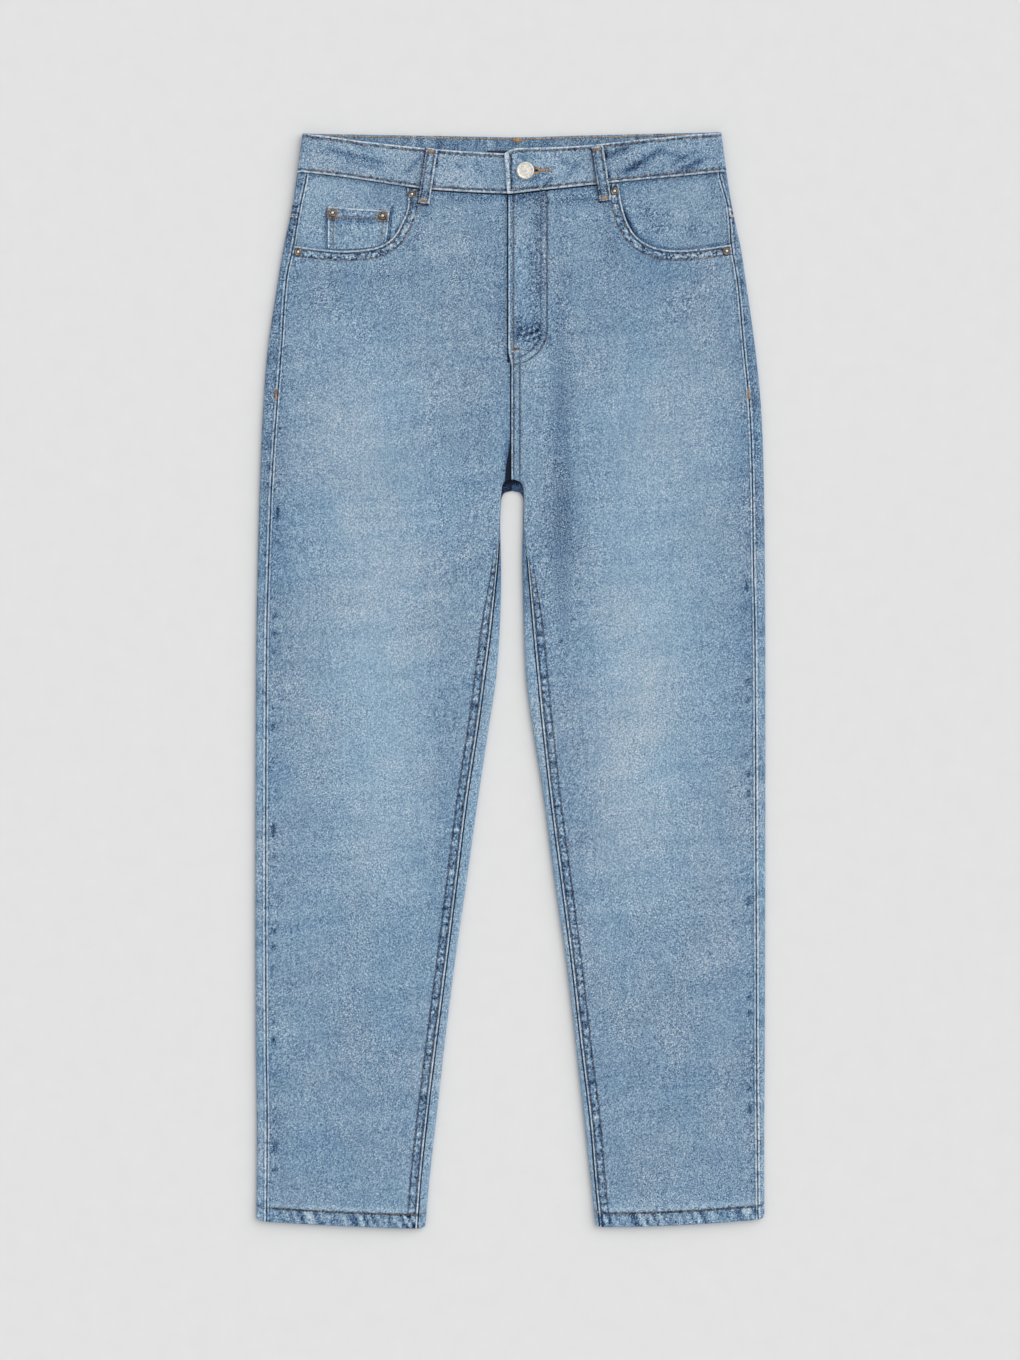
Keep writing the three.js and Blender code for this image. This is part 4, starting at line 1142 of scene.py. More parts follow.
def pocket_facing(side, material):
    band = BAND_FRONT[side]
    start_xi = float(opening(0, side + "_xi")) - FACING_UNDERLAP

    def place(u, v):
        row = OPENING_ROWS * (0.12 + 0.88 * u)
        ahead, behind = np.minimum(row + 0.02, OPENING_ROWS), row - 0.02
        run = np.subtract(opening_at(side, ahead), opening_at(side, behind))
        hidden_xi, hidden_y = beside(*opening_at(side, row), *run, FACING_UNDERLAP)
        top_xi = lerp(start_xi, side_seam(side, 481) - SEAM_HALF, u)
        top_y = band(SIDES[side] * top_xi, "bottom") - 1.5 * GAP
        y = lerp(top_y, hidden_y, v)
        seam = side_seam(side, y) - SEAM_HALF
        xi = np.minimum(lerp(top_xi, hidden_xi, v), seam - 3 * (1 - u))
        xi = np.where(u == 1, seam, xi)
        high = facing_z(side, xi, y)
        to_opening = from_opening(side, xi, y)[0]
        to_side = side_seam(side, y) - xi
        x = SIDES[side] * xi
        below_band = band(x, "bottom") - y
        # painted shade where the opening gapes, under the waistband and beside the opening's edge
        gaping_shade = 1.6 * (1 - smoothstep(to_opening, 2, 5)) * bell(y - 433, 17) * (x > 0)
        marks = {
            "edge": to_side,
            "shade": 0.55 * bell(below_band, 4) + 0.8 * bell(to_opening, 2.2) + gaping_shade,
            "wash": (0.3 if side == "right" else -0.2) + 0.5 * fold_height(x, y, FACING_FADE_AND_SHADE),
            "rope": 0.25 * bell(to_side - 4, 3) * uneven(y, 12, 2) - 1.6 * shadow_beside_coin(x, y),
        }
        return x, y, high, high - CLOTH, marks

    u = 1 - fine_shares(150)[::-1]
    return slab(f"denim_facing_{side}", u, fine_shares(60), place, material, f"pocket_facing_{side}")


def coin_place(u, v):
    """Where a point of the coin pocket lies: xi, y and the height of the facing under it"""
    line_xi, line_y = opening_points("right", 1.2)
    xi = lerp(lerp(COIN["inner_top"], COIN["inner_low"], v), COIN["outer"], u)
    low_y = np.interp(lerp(COIN["inner_low"], COIN["outer"], u), line_xi, line_y) + COIN["rim"]
    y = lerp(lerp(COIN["y_inner"], COIN["y_outer"], u), low_y, v)
    return xi, y, facing_z("right", xi, y) + GAP


def coin_pocket(material):
    width = COIN["outer"] - COIN["inner_top"]
    height = COIN["height"]

    def place(u, v):
        xi, y, low = coin_place(u, v)
        sides = np.minimum(u, 1 - u) * width
        top = v * height
        edge = np.minimum(sides, top)
        # painted shade below the turned top hem, and painted shadow lines along the pocket's sides
        shade_under_hem = bell(top - 11, 2)
        marks = {
            "edge": np.minimum(sides - 0.8, top),
            "gap": np.minimum(u * width + 0.2, (1 - u) * width + 0.5),
            "stitch": np.minimum(np.abs(top - COIN["row"]), np.abs(sides - COIN["side_row"])),
            "pucker": 0.5,
            "rope": 0.45 * (top < 8) * uneven(xi, 15, 2) - shade_under_hem * (0.7 + 0.5 * uneven(xi, 17, 1)),
            "wash": 0.2 * (top < 9) + 0.1,
            "shade": 0.35 * bell(top - 11, 3),
        }
        sewn = SOFT_RIDGE * bell(edge - 1, RIDGE_HALF) + 0.15 * bell(top - 8, 2.4)
        return -xi, y, low + COIN["wall"] + sewn - rounding(edge, COIN["wall"]), low, marks

    u, v = fine_shares(width), fine_shares(height)
    return slab("denim_coin_pocket", u, v, place, material, "coin_pocket")


def back_pocket_place(u, v):
    pocket = BACK_POCKET
    half = lerp(pocket["half_top"], pocket["half_bottom"], v)
    bottom = lerp(pocket["tip"], pocket["corner"], np.abs(2 * u - 1))
    return pocket["centre"] + half * (2 * u - 1), lerp(pocket["top"], bottom, v)


def back_pocket(side, material):
    width, height = 2 * BACK_POCKET["half_top"], BACK_POCKET["top"] - BACK_POCKET["corner"]

    def place(u, v):
        xi, y = back_pocket_place(u, v)
        edge = from_rim(u, v, width, height)
        band = 1 - smoothstep(edge, 7.5, 10)
        marks = {
            "edge": edge,
            "stitch": np.minimum(np.abs(edge - EDGE_ROW), np.abs(edge - SECOND_ROW)),
            "rope": 0.6 * band * uneven(xi + y, 9, 2.2),
            "pucker": band,
            "wash": 0.25 * bell(edge - 30, 20),
        }
        soft = rounding(edge, CLOTH)
        return SIDES[side] * xi, y, soft, CLOTH - soft, marks

    u, v = fine_shares(width), fine_shares(height)
    return slab(f"denim_back_pocket_{side}", u, v, place, material, f"back_pocket_{side}")


def loop_shares(length):
    return fine_shares(LOOP_WIDTH, (0, 0.25, 0.6, 1.1, 1.8, 2.6), 1.2), fine_shares(length)


def loop_marks(u, v, length):
    # a painted shadow line along its right side and foot, and painted shade near both ends where it bends
    # down
    ends = np.minimum(v, 1 - v) * length
    right, foot = (1 - u) * LOOP_WIDTH, (1 - v) * length
    return {
        "edge": np.min([u * LOOP_WIDTH, right - 1.2, v * length, foot - 1.2], axis=0),
        "gap": np.minimum(right, foot) - 0.2,
        "stitch": np.abs(np.minimum(u, 1 - u) * LOOP_WIDTH - LOOP_ROW),
        "pucker": 0.6,
        "rope": 0.5 * uneven(v * length, 7, 1) * (0.4 + 0.6 * bell(u - 0.5, 0.3)),
        "wash": -0.5,
        "shade": 0.6 * bell(ends - 11, 4) * (v > 0.5) + 0.45 * bell(ends - 7, 4) * (v < 0.5),
    }


def front_loop_place(side, u, v):
    top, low = FRONT_LOOPS[side]
    middle = [lerp(start, end, v) for start, end in zip(top, low)]
    x, y = beside(*middle, *np.subtract(low, top), (u - 0.5) * LOOP_WIDTH)
    below = BAND_FRONT[side](x, "bottom") - y
    on_panel = top_z(side, np.abs(x), y) + 2 * GAP
    on_band = TAB_BASE + GAP + LOOP_SLACK * np.sin(math.pi * v)
    return x, y, lerp(on_band, on_panel, smoothstep(below, 1.5, 9))


def front_loop(side, material):
    def place(u, v):
        x, y, low = front_loop_place(side, u, v)
        marks = loop_marks(u, v, LOOP_LENGTH)
        soft = rounding(from_rim(u, v, LOOP_WIDTH, LOOP_LENGTH), LOOP_WALL)
        crown = 0.35 * bell(u - 0.5, 0.35) - 0.2 * bell(marks["stitch"], 0.8)
        return x, y, low + LOOP_WALL + crown - soft, low, marks

    u, v = loop_shares(LOOP_LENGTH)
    return slab(f"denim_loop_front_{side}", u, v, place, material, f"belt_loop_front_{side}")


def back_loop(node, at, material):
    length = BAND_HEIGHT + 10
    top = float(band_back(at, "top")) - 2

    def place(u, v):
        soft = rounding(from_rim(u, v, LOOP_WIDTH, length), LOOP_WALL)
        x = at + (u - 0.5) * LOOP_WIDTH
        return x, top - v * length, LOOP_WALL - soft, soft, loop_marks(u, v, length)

    u, v = loop_shares(length)
    return slab("denim_" + node, u, v, place, material, node)


LABEL = {"left": -22, "right": 38, "top": 502.8, "bottom": 490, "width": 60, "length": 14}


def waist_label(material):
    """A blank woven label inside the back of the waistband"""
    low = BAND_LIFT + BAND_WALL + GAP

    def place(u, v):
        x = lerp(LABEL["left"], LABEL["right"], u)
        y = lerp(LABEL["top"], LABEL["bottom"], v)
        soft = rounding(from_rim(u, v, LABEL["width"], LABEL["length"]), LABEL_WALL)
        return x, y, low + LABEL_WALL - soft, low + soft, {}

    u, v = fine_shares(LABEL["width"]), fine_shares(14.3)
    return slab("woven_label", u, v, place, material, "waist_label")


# Sewing
def along_line(points, pitch):
    """Places every `pitch` along a line of 3-D points, with the line's direction there"""
    points = np.asarray(points, float)
    steps = np.linalg.norm(np.diff(points, axis=0), axis=1)
    lengths = np.concatenate([[0], np.cumsum(steps)])
    count = max(int(lengths[-1] / pitch), 1)
    at = (np.arange(count) + 0.5) * lengths[-1] / count

    def place(at):
        return points_at(*[np.interp(at, lengths, points[:, axis]) for axis in range(3)])

    run = place(at + 0.3) - place(at - 0.3)
    return place(at), run / np.linalg.norm(run, axis=1, keepdims=True)


RING_AT = np.array([-0.5, -0.36, 0, 0.36, 0.5])
RING_R = np.array([0.35, 0.9, 1, 0.9, 0.35])
RING_UP = np.array([-0.5, -0.05, 0.25, -0.05, -0.5])
RING_SIDES = 6

# How faded the threads of a row are, from dark brown (0) to tan (1)
DARK, HALF_WORN, WORN = (0.0, 0.4), (0.0, 0.5), (0.0, 0.6)
MIXED, TAN = (0.05, 0.95), (0.6, 1.0)


def ring_faces(index):
    """Faces of closed forms that are each made of rings of points: the sides, and a cap at both ends"""
    following = np.roll(index, -1, axis=2)
    sides = np.stack([index[:, :-1], following[:, :-1], following[:, 1:], index[:, 1:]], -1)
    return [*sides.reshape(-1, 4).tolist(), *index[:, 0, ::-1].tolist(), *index[:, -1].tolist()]


class Thread:
    """Stitches gathered for one object, each a short bent thread that dips into the cloth at both ends"""

    def __init__(self, seed):
        self.places, self.runs, self.sizes, self.ups, self.tones = [], [], [], [], []
        self.random = np.random.default_rng(seed)

    def add(self, places, runs, length, radius, up, tones):
        count = len(places)
        self.tones.append(self.random.uniform(*tones, count))
        jitter = 1 + 0.12 * self.random.uniform(-1, 1, (count, 2))
        self.places.append(places)
        self.runs.append(runs)
        self.sizes.append(jitter * (length, radius))
        self.ups.append(np.full(count, float(up)))

    def row(self, points, radius=THREAD_R, up=1, tones=MIXED):
        self.add(*along_line(points, STITCH_PITCH), STITCH_LENGTH, radius, up, tones)

    def under(self, x, y, z=UNDER_SUNK):
        """A row on the underside"""
        self.row(points_at(x, y, z), radius=THIN_R, up=-1)

    def tack(self, start, end, width, radius=0.38, up=1, pitch=0.62):
        """A bar tack: threads side by side across the line from start to end"""
        places, runs = along_line([start, end], pitch)
        lean = np.cross(runs, [0, 0, 1.0]) + 0.14 * runs
        lean /= np.linalg.norm(lean, axis=1, keepdims=True)
        self.add(places, lean, width, radius, up, (0.0, 1.0))

    def build(self, name, material):
        places, runs = np.concatenate(self.places), np.concatenate(self.runs)
        length, radius = np.concatenate(self.sizes).T[..., None]
        normal = np.zeros_like(places)
        normal[:, 2] = np.concatenate(self.ups)
        across = np.cross(runs, normal)
        across /= np.linalg.norm(across, axis=1, keepdims=True)
        points = np.empty((len(places), len(RING_AT), RING_SIDES, 3))
        for ring, (at, wide, high) in enumerate(zip(RING_AT, RING_R, RING_UP)):
            middle = places + runs * at * length + normal * high * radius
            for corner in range(RING_SIDES):
                angle = 2 * math.pi * corner / RING_SIDES
                reach = across * math.cos(angle) + normal * math.sin(angle)
                points[:, ring, corner] = middle + reach * wide * radius
        index = np.arange(points.size // 3).reshape(points.shape[:3])
        piece = new_object(name, points.reshape(-1, 3), ring_faces(index[:, ::-1]), material)
        paint(piece, "tone", np.repeat(np.concatenate(self.tones), len(RING_AT) * RING_SIDES))


def on_front(side, xi, y, lift=ON_CLOTH):
    """A line on a front panel as 3-D points"""
    xi, y = np.broadcast_arrays(xi, y)
    return points_at(SIDES[side] * xi, y, front_z(side, xi, y) + lift)


def opening_row(side, offset):
    """A line on the front panel that follows the pocket's opening at `offset`"""
    xi, y = opening_points(side, 0.0, 120)
    xi, y = beside(xi, y, np.gradient(xi), np.gradient(y), offset)
    kept = (y < BAND_FRONT[side](SIDES[side] * xi, "bottom") - 1) & (xi < side_seam(side, y) - 2.5)
    return on_front(side, xi[kept], y[kept])


def sew_fronts(brown):
    for side in SIDES:
        for offset, tones in ((EDGE_ROW, WORN), (SECOND_ROW, (0.0, 0.9))):
            brown.row(opening_row(side, offset), tones=tones)
        for row in INSEAM_ROWS:
            y = np.linspace(SEEN_FROM[side] - 2 * row, HEM_Y + 16, 300)
            xi = inseam(side, y) + row * inseam_spread(y)
            brown.row(on_front(side, xi, y), radius=THIN_R, tones=DARK)
        level = HEM_Y + HEM_ROW
        xi = np.linspace(inseam(side, level) + 1.5, side_seam(side, level) - 1.5, 90)
        brown.row(on_front(side, xi, hem_line(xi, side) + HEM_ROW), radius=0.95, tones=(0.0, 0.45))
    brown.row(on_front("left", RISE_ROWS[0], np.linspace(459, 197, 150)), radius=0.5, tones=HALF_WORN)
    brown.row(on_front("left", RISE_ROWS[1], np.linspace(299, 196, 70)), radius=0.6, tones=HALF_WORN)
    turn_y = FLY_BOTTOM + FLY_WIDTH
    angle = np.linspace(0, math.pi / 2 - 0.04, 30)
    for row in FLY_ROWS:
        reach = FLY_WIDTH + row
        x = np.concatenate([np.full(60, reach), reach * np.cos(angle)])
        y = np.concatenate([np.linspace(462, turn_y, 60), turn_y - reach * np.sin(angle)])
        brown.row(on_front("left", x, y), tones=HALF_WORN)


def sew_band(brown):
    for side, ends in (("right", (-196, -9)), ("left", (-1.5, 198))):
        x = np.linspace(*ends, 160)
        for edge, inset in (("top", -BAND_ROW), ("bottom", BAND_ROW)):
            y = BAND_FRONT[side](x, edge) + inset
            brown.row(points_at(x, y, band_front_z(side, x, y) + ON_CLOTH))
    share = np.linspace(0.09, 0.91, 20)
    x = lerp(*TAB_END, share) + TAB_ROW
    y = lerp(BAND_FRONT["left"](x, "bottom"), BAND_FRONT["left"](x, "top"), share)
    brown.row(points_at(x, y, band_front_z("left", x, y) + ON_CLOTH), tones=DARK)
    x = np.linspace(-192, 192, 200)
    for inset in (BAND_ROW, BAND_HEIGHT - BAND_ROW):
        brown.under(x, band_back(x, "top") - inset, BAND_LIFT + UNDER_SUNK)
    inside = points_at(x, band_back(x, "top") - INNER_ROW, BAND_LIFT + BAND_WALL + ON_CLOTH)
    brown.row(inside, radius=0.85, tones=TAN)


def sew_back(brown):
    def along_panel(side, xi, y):
        brown.under(SIDES[side] * xi, y, under_z(side, xi, y) + UNDER_SUNK)

    for side in SIDES:
        xi = np.linspace(5 + SIDES[side] * 6, 200, 90)
        for offset in (EDGE_ROW, SECOND_ROW):
            along_panel(side, xi, yoke_seam(xi) - offset)
        xi = np.linspace(inner_edge(side, HEM_Y) + 4, outer_edge(side, HEM_Y) - 4, 90)
        along_panel(side, xi, hem_line(xi, side) + HEM_ROW)
        lines = []
        for inset in (EDGE_ROW, SECOND_ROW):
            u, v = inset / (2 * BACK_POCKET["half_top"]), 1 - inset / BACK_POCKET_LENGTH
            corners = [(u, 0.0), (u, v), (0.5, v), (1 - u, v), (1 - u, 0.0)]
            lines += zip(corners, corners[1:])
        lines += [((0.02, v), (0.98, v)) for v in (0.025, 0.16)]
        for start, end in lines:
            xi, y = back_pocket_place(*np.linspace(start, end, 40).T)
            brown.under(SIDES[side] * xi, y)
    y = np.linspace(400, 186, 120)
    for offset in (EDGE_ROW, SECOND_ROW):
        along_panel("left", seat_edge("left", y) + offset, y)


def sew_side_strips(brown, orange):
    """What shows of the yoke seams and hems, and a small tack, on the strips outside the seams"""
    for side in SIDES:
        for offset in (-EDGE_ROW, EDGE_ROW + 1.5):
            y = float(yoke_seam(205)) + offset
            xi = np.linspace(side_seam(side, y) + 1.5, outer_edge(side, y) - 1, 12)
            brown.row(points_at(SIDES[side] * xi, y, 2 * fold_radius(y) + floor_z(y) + 0.25))
        level = HEM_Y + HEM_ROW
        strips = [
            (side_seam(side, level) + 1.5, outer_edge(side, level) - 3.4),
            (inner_edge(side, level) + 3.4, inseam(side, level) - 1.2),
        ]
        for ends in strips:
            xi = np.linspace(*ends, 8)
            y = hem_line(xi, side) + HEM_ROW
            points = points_at(SIDES[side] * xi, y, top_z(side, xi, y) + 0.1)
            brown.row(points, radius=0.85, tones=(0.1, 0.8))
        y = SIDE_TACK["y"]
        x = SIDES[side] * (side_seam(side, y) + SIDE_TACK[side])
        z = 2 * fold_radius(y) + 0.7
        orange.tack((x, y - 4.5, z), (x, y + 4.5, z), 2.4)


def sew_coin_pocket(brown, orange):
    in_u = COIN["side_row"] / (COIN["outer"] - COIN["inner_top"])
    row_v, start_v = COIN["row"] / COIN["height"], (COIN["row"] + 0.9) / COIN["height"]
    lines = [((0.02, row_v), (0.98, row_v))]
    lines += [((u, start_v), (u, 0.97)) for u in (in_u, 1 - in_u)]
    for start, end in lines:
        xi, y, low = coin_place(*np.linspace(start, end, 30).T)
        brown.row(points_at(-xi, y, low + COIN["wall"] + 0.2), radius=0.4, tones=TAN)
    half = COIN["square"] / 2
    for xi, y in COIN_RIVETS:
        z = facing_z("right", xi, y) + GAP + COIN["wall"] + 0.25
        for dx in (-half, half):
            orange.tack((-xi + dx, y - half, z), (-xi + dx, y + half, z), 1.4, pitch=1.1)
        for dy in (-half, half):
            orange.tack((-xi - half, y + dy, z), (-xi + half, y + dy, z), 1.4, pitch=1.1)


def sew_loops(brown, orange):
    for side in SIDES:
        for u in (LOOP_ROW / LOOP_WIDTH, 1 - LOOP_ROW / LOOP_WIDTH):
            x, y, low = front_loop_place(side, u, np.linspace(0.07, 0.93, 60))
            brown.row(points_at(x, y, low + LOOP_WALL + 0.15), radius=0.38)
        for v in (0.055, 0.93):
            x, y, low = front_loop_place(side, np.array([0.22, 0.78]), v)
            orange.tack(*points_at(x, y, low + LOOP_WALL + 0.4), 2.6)
    for at in BACK_LOOPS.values():
        top = float(band_back(at, "top")) - 5
        bottom = top - BAND_HEIGHT - 4
        for dx in (LOOP_ROW - LOOP_WIDTH / 2, LOOP_WIDTH / 2 - LOOP_ROW):
            brown.under(at + dx, [top, bottom])
        for y in (top, bottom):
            orange.tack((at - 3.5, y, UNDER_SUNK), (at + 3.5, y, UNDER_SUNK), 2.4, up=-1)
    at, y = BACK_LOOPS["belt_loop_back"], BACK_LOOP_TACK_Y
    z = BAND_LIFT + BAND_WALL + 0.35
    orange.tack((at - 4, y, z), (at + 4, y, z), 4)


def sew_tacks(brown, orange):
    """The tack across the fly's end and the buttonhole's close stitches"""
    brown.tack(*on_front("left", *FLY_TACK, 0.3), 2.2)
    hole = BUTTONHOLE
    end = hole["to"] + 1
    z = TAB_BASE + TAB_LIFT + 0.15
    for way in (-1, 1):
        y = BUTTON["y"] + way * (hole["half_width"] + 0.6)
        orange.tack((hole["from"], y, z), (end, y, z), 2.3)
    orange.tack((end, BUTTON["y"] + 0.3, z), (hole["point"], BUTTON["y"] + 0.8, z - 1), 2.9)


# Metal parts
def lathe(name, profile, at, segments, material):
    """A turned form from (radius, height) pairs, standing at a point"""
    turn = 2 * math.pi * np.arange(segments) / segments
    radii, heights = np.array(profile, float).T[..., None]
    points = points_at(at[0] + radii * np.cos(turn), at[1] + radii * np.sin(turn), at[2] + heights)
    index = np.arange(points.size // 3).reshape(1, len(profile), segments)
    return new_object(name, points.reshape(-1, 3), ring_faces(index), material)


def button(material):
    radius = BUTTON["radius"]
    base = BAND_WALL + GAP
    rim = [(radius - 1, base), (radius - 0.2, base + 0.35), (radius, base + 1), (radius - 0.1, base + 2)]
    rim += [(radius - 0.5, base + 2.7), (radius - 1.1, base + 3), (radius - 1.8, base + 2.75)]
    face = [(radius - 2.3, base + 2.55), (radius - 3.2, base + 2.6), (2.4, base + 2.75), (0.05, base + 2.8)]
    shank = [(0.05, 0), (BUTTON["shank_radius"], 0), (BUTTON["shank_radius"], base - 0.3), (3, base - 0.05)]
    at = (BUTTON["x"], BUTTON["y"], TAB_BASE + GAP)
    piece = lathe("shank_button", shank + rim + face, at, 72, material)
    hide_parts("button")
    return piece


RIVETS = [f"rivet_{side}_{end}" for side in SIDES for end in ("top", "side")]
RIVETS += ["rivet_coin_inner", "rivet_coin_outer"]
RIVET_R = 3.9
RIVET_SEGMENTS = 40


def rivet(node, material):
    radius = RIVET_R
    low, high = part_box(node)
    middle = [(low[i] + high[i]) / 2 / MM for i in (0, 1)]
    profile = [(0.05, 0), (radius - 0.1, 0), (radius, 0.3), (radius - 0.25, 0.75), (radius - 0.8, 0.95)]
    profile += [(2.5, 0.85), (1.8, 0.6), (1.5, 0.75), (1.35, 1.3), (1.1, 1.65), (0.6, 1.8), (0.05, 1.83)]
    piece = lathe("copper_" + node, profile, (*middle, low[2] / MM), RIVET_SEGMENTS, material)
    nib = [float(height > 1) for _, height in profile]
    hollow = [0.5 * (height <= 1 and (1 < at < 2.4 or at > 3.5)) for at, height in profile]
    paint(piece, "tone", np.repeat(np.subtract(nib, hollow), RIVET_SEGMENTS))
    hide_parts(node)
    return piece


# Materials
def linear(red, green, blue):
    """An sRGB colour, 0 to 255, as the linear colour that shaders use"""
    shares = [value / 255 for value in (red, green, blue)]
    return (*[s / 12.92 if s <= 0.04045 else ((s + 0.055) / 1.055) ** 2.4 for s in shares], 1)


class Shader:
    """Short calls for building one material's nodes"""

    def __init__(self, name):
        self.material = bpy.data.materials.new(name)
        self.material.use_nodes = True
        self.nodes = self.material.node_tree.nodes
        self.links = self.material.node_tree.links
        self.surface = self.nodes["Principled BSDF"]
        place = self.add("TexCoord", {}, "Object")
        self.place = self.add("VectorMath", {0: place, 1: (1000, 1000, 1000)}, operation="MULTIPLY")

    def put(self, socket, value):
        if isinstance(value, bpy.types.NodeSocket):
            self.links.new(value, socket)
        else:
            socket.default_value = value

    def add(self, kind, inputs, output=0, **settings):
        """A new node's output, once its settings and its inputs are set"""
        node = self.nodes.new("ShaderNode" + kind)
        for name, value in settings.items():
            setattr(node, name, value)
        for socket, value in inputs.items():
            self.put(node.inputs[socket], value)
        return node.outputs[output]

    def math(self, operation, a, b=0.0):
        return self.add("Math", {0: a, 1: b}, operation=operation)

    def times(self, a, b):
        return self.math("MULTIPLY", a, b)

    def total(self, *values):
        result = values[0]
        for value in values[1:]:
            result = self.math("ADD", result, value)
        return result

    def around(self, value, amount):
        """A 0 to 1 value moved to lie round zero, and scaled"""
        return self.times(self.math("SUBTRACT", value, 0.5), amount)

    def mark(self, name):
        return self.add("Attribute", {}, "Fac", attribute_name=name)

    def spread(self, value, low, high, start=0.0, end=1.0):
        """The value's range from low to high, smoothly mapped to start to end"""
        inputs = dict(enumerate((value, low, high, start, end)))
        return self.add("MapRange", inputs, interpolation_type="SMOOTHSTEP")

    def noise(self, place, scale, detail, roughness=0.5):
        inputs = {"Vector": place, "Scale": scale, "Detail": detail, "Roughness": roughness}
        return self.add("TexNoise", inputs, "Fac")

    def specks(self, degrees, sizes, detail=1.0, roughness=0.5):
        """Noise with marks of the given sizes along axes turned in the sheet's plane"""
        inputs = {"Vector": self.place, "Rotation": (0, 0, math.radians(degrees)), "Scale": sizes}
        place = self.add("Mapping", inputs, vector_type="TEXTURE")
        return self.noise(place, 1.0, detail, roughness)

    def ramp(self, value, stops):
        node = self.nodes.new("ShaderNodeValToRGB")
        self.put(node.inputs[0], value)
        elements = node.color_ramp.elements
        for (at, colour), element in zip(stops, elements):
            element.position, element.color = at, linear(*colour)
        for at, colour in stops[2:]:
            elements.new(at).color = linear(*colour)
        return node.outputs[0]

    def blend(self, kind, share, a, b):
        inputs = {"Factor": share, "A": a, "B": b}
        return self.add("Mix", inputs, "Result", data_type="RGBA", blend_type=kind)

    def bump(self, height, distance, strength):
        inputs = {"Strength": strength, "Distance": distance, "Height": height}
        self.put(self.surface.inputs["Normal"], self.add("Bump", inputs))

    def finish(self, colour, roughness, sockets):
        for name, value in {"Base Color": colour, "Roughness": roughness, **sockets}.items():
            self.put(self.surface.inputs[name], value)
        return self.material


# From raw indigo to worn white
INDIGO = [
    (0.0, (16, 24, 44)),
    (1.0, (232, 236, 238)),
    (0.16, (36, 64, 102)),
    (0.34, (83, 113, 147)),
    (0.5, (119, 153, 179)),
    (0.66, (154, 183, 202)),
    (0.82, (196, 213, 224)),
]
TWILL_ANGLE = 47


def denim(name, level, contrast, hues):
    """Washed denim: how far it has faded, how strong its flecks are, and two hues that it drifts between"""
    shader = Shader(name)
    flecks = shader.specks(TWILL_ANGLE, (1.8, 0.8, 1.0), 1.0, 0.6)
    grains = shader.specks(TWILL_ANGLE, (0.95, 0.56, 0.7), 0.0)
    waves = shader.specks(7, (90, 13, 30))
    slubs = shader.specks(0, (3, 45, 3), 2.0)
    clouds = shader.specks(20, (30, 50, 30), 2.0)
    patches = shader.specks(-10, (85, 110, 100), 2.0)
    blobs = shader.specks(0, (2.6, 3.2, 2.6))
    wash, edge = shader.mark("wash"), shader.mark("edge")
    speckle = shader.total(shader.around(flecks, 0.86), shader.around(grains, 0.84))
    strength = shader.spread(clouds, 0.3, 0.7, 0.88 * contrast, 1.12 * contrast)
    strength = shader.times(strength, shader.total(shader.times(wash, -0.24), 1.22))
    worn = shader.spread(shader.noise(shader.place, 0.3, 2.0), 0.3, 0.55, 0.16, 0.4)
    fade = shader.total(
        shader.times(speckle, strength),
        shader.around(slubs, 0.14),
        shader.around(waves, 0.12),
        shader.around(clouds, 0.06),
        shader.around(patches, 0.08),
        # washed-out places, with painted shade along folds
        shader.times(wash, 0.11),
        # roping, with the painted shade of creases and painted shadows beside the loops and the coin pocket
        shader.times(shader.mark("rope"), 0.24),
        shader.times(shader.mark("pucker"), shader.around(blobs, 1.1)),
        # painted shade darkens the cloth
        shader.times(shader.mark("shade"), -0.22),
        shader.spread(shader.mark("stitch"), 0.3, 1.7, -0.2, 0.0),
        # painted shadow lines in the gaps between parts and beside raised edges
        shader.spread(shader.mark("gap"), 0.9, 1.5, -0.55, 0.0),
        shader.times(shader.spread(edge, 1.1, 2.0, 1.0, 0.0), worn),
        shader.spread(edge, 1.9, 3.8, -0.12, 0.0),
        level,
    )
    tint = shader.blend("MIX", shader.spread(patches, 0.35, 0.65), *[linear(*hue) for hue in hues])
    colour = shader.blend("MULTIPLY", 1.0, shader.ramp(fade, INDIGO), tint)
    shader.bump(shader.total(shader.around(flecks, 1.0), shader.around(grains, 0.8)), 0.0004, 0.55)
    return shader.finish(colour, 0.88, {"Specular IOR Level": 0.25, "Sheen Weight": 0.12})


def thread_material(name, dark, pale):
    shader = Shader(name)
    twist = shader.specks(35, (0.6, 2.0, 1.0))
    tone = shader.total(shader.times(shader.mark("tone"), 0.75), shader.around(twist, 0.5))
    shader.bump(twist, 0.0002, 0.5)
    return shader.finish(shader.ramp(tone, [(0.05, dark), (0.95, pale)]), 0.6, {"Specular IOR Level": 0.35})


def metal_material(name, dark, pale, scale, roughness):
    """Worn metal: stains in its hollows, small scratches, a duller sheen where it is rubbed"""
    shader = Shader(name)
    stains = shader.noise(shader.place, scale, 4.0, 0.6)
    scratches = shader.specks(30, (2.5, 0.25, 1.0), 2.0)
    tone = shader.total(stains, shader.around(scratches, 0.2), shader.times(shader.mark("tone"), 0.6))
    colour = shader.ramp(tone, [(0.35, dark), (0.95, (232, 228, 222)), (0.62, pale)])
    shader.bump(shader.total(stains, scratches), 0.0001, 0.4)
    rough = shader.spread(stains, 0.3, 0.7, roughness + 0.15, roughness - 0.05)
    return shader.finish(colour, rough, {"Metallic": 1.0})


def label_material():
    shader = Shader("woven_navy")
    weave = shader.times(shader.specks(0, (2.5, 0.2, 1.0)), shader.specks(0, (0.2, 2.5, 1.0)))
    shader.bump(weave, 0.0002, 0.6)
    colour = shader.ramp(weave, [(0.1, (8, 14, 40)), (0.5, (22, 34, 78))])
    return shader.finish(colour, 0.55, {"Sheen Weight": 0.3})


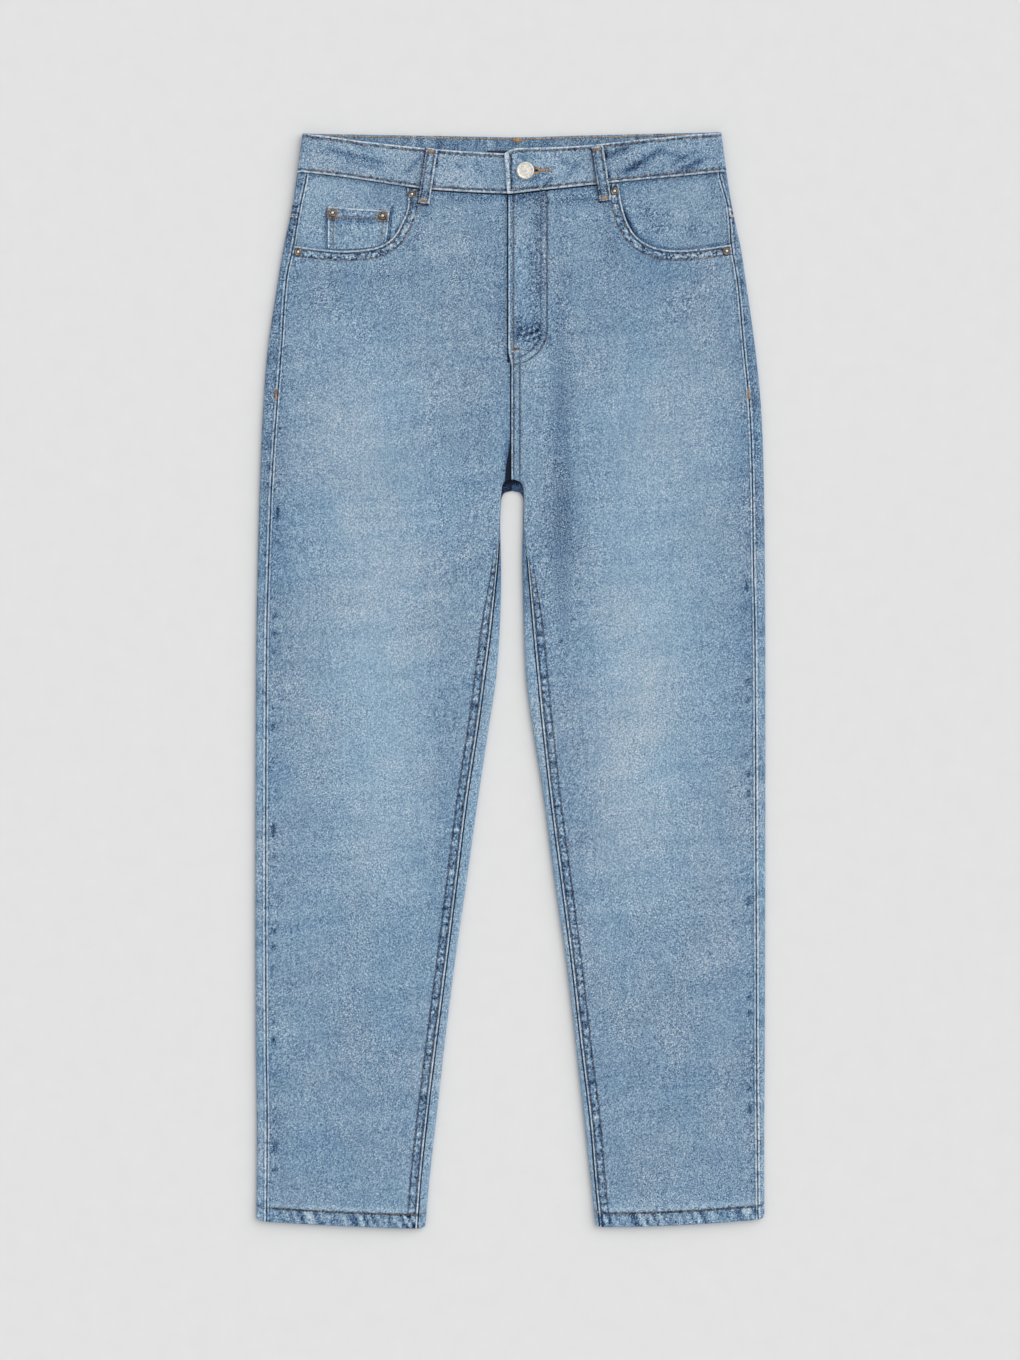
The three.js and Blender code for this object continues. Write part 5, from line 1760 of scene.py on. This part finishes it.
def floor_material():
    shader = Shader("pale_floor")
    grain = shader.noise(shader.place, 0.05, 2.0)
    colour = shader.ramp(grain, [(0.3, (230, 230, 230)), (0.7, (232, 232, 232))])
    return shader.finish(colour, 0.95, {"Specular IOR Level": 0.1})


# Stage
CAMERA_HEIGHT = 5.0
FRAME_HEIGHT = 1.292  # what the photograph takes in, from top to bottom
SENSOR = 36.0
FRAME_CENTRE = (-0.0005, 0.0002)


def add_camera():
    data = bpy.data.cameras.new("camera")
    data.sensor_width = SENSOR
    data.lens = SENSOR * CAMERA_HEIGHT / FRAME_HEIGHT
    camera = bpy.data.objects.new("camera", data)
    camera.location = (*FRAME_CENTRE, CAMERA_HEIGHT)
    bpy.context.scene.collection.objects.link(camera)
    bpy.context.scene.camera = camera


def add_sun(name, direction, spread, strength):
    """Soft light from one side of a studio, spread over so many degrees for soft shadow edges"""
    data = bpy.data.lights.new(name, "SUN")
    data.angle = math.radians(spread)
    data.energy = strength
    light = bpy.data.objects.new(name, data)
    light.rotation_euler = Vector(direction).to_track_quat("Z", "Y").to_euler()
    bpy.context.scene.collection.objects.link(light)


def add_floor(material):
    half = 6000
    corners = [(-half, -half, -0.3), (half, -half, -0.3), (half, half, -0.3), (-half, half, -0.3)]
    mesh = bpy.data.meshes.new("floor")
    mesh.from_pydata((np.array(corners) * MM).tolist(), [], [(0, 1, 2, 3)])
    mesh.materials.append(material)
    floor = bpy.data.objects.new("floor", mesh)
    bpy.context.scene.collection.objects.link(floor)


def add_world(strength):
    world = bpy.data.worlds.new("soft_light")
    world.use_nodes = True
    background = world.node_tree.nodes["Background"]
    background.inputs["Color"].default_value = (1, 1, 1, 1)
    background.inputs["Strength"].default_value = strength
    bpy.context.scene.world = world


add_camera()
add_world(0.66)
add_sun("soft_key", (0.82, 0.56, 0.8), 62, 1.5)
bpy.context.scene.view_settings.view_transform = "Standard"
add_floor(floor_material())

leg_denim = denim("washed_denim", 0.523, 1.0, ((247, 250, 254), (255, 250, 250)))
trim_denim = denim("trim_denim", 0.582, 0.97, ((248, 247, 250), (252, 246, 246)))
nickel = metal_material("nickel", (202, 198, 188), (250, 248, 240), 0.9, 0.5)
copper = metal_material("aged_copper", (86, 78, 72), (176, 164, 150), 0.5, 0.4)

panels = {}
for side in SIDES:
    panels[f"front_{side}"] = front_panel(side, leg_denim)
    panels[f"back_{side}"] = back_panel(side, leg_denim)
    panels[f"yoke_{side}"] = yoke(side, leg_denim)
    panels[f"facing_{side}"] = pocket_facing(side, leg_denim)
    panels[f"back_pocket_{side}"] = back_pocket(side, leg_denim)
panels["coin_pocket"] = coin_pocket(leg_denim)
panels["waistband"] = waistband(trim_denim)
loops = [front_loop(side, trim_denim) for side in SIDES]
loops += [back_loop(node, at, trim_denim) for node, at in BACK_LOOPS.items()]
label = waist_label(label_material())
shank_button = button(nickel)
rivets = [rivet(node, copper) for node in RIVETS]

brown, orange = Thread(7), Thread(8)
sew_fronts(brown)
sew_band(brown)
sew_back(brown)
sew_side_strips(brown, orange)
sew_coin_pocket(brown, orange)
sew_loops(brown, orange)
sew_tacks(brown, orange)
brown.build("brown_stitches", thread_material("brown_thread", (52, 43, 42), (206, 176, 138)))
orange.build("orange_tacks", thread_material("orange_thread", (132, 98, 70), (224, 178, 128)))

# The size each piece of cloth was cut to, in metres: width, length and area
LIES_ON = {"front": "back", "facing": "back", "coin_pocket": "facing_right"}
for name, piece in panels.items():
    kind = name.removesuffix("_right").removesuffix("_left")
    below = LIES_ON.get(kind)
    if kind in ("front", "facing"):
        below += name.removeprefix(kind)
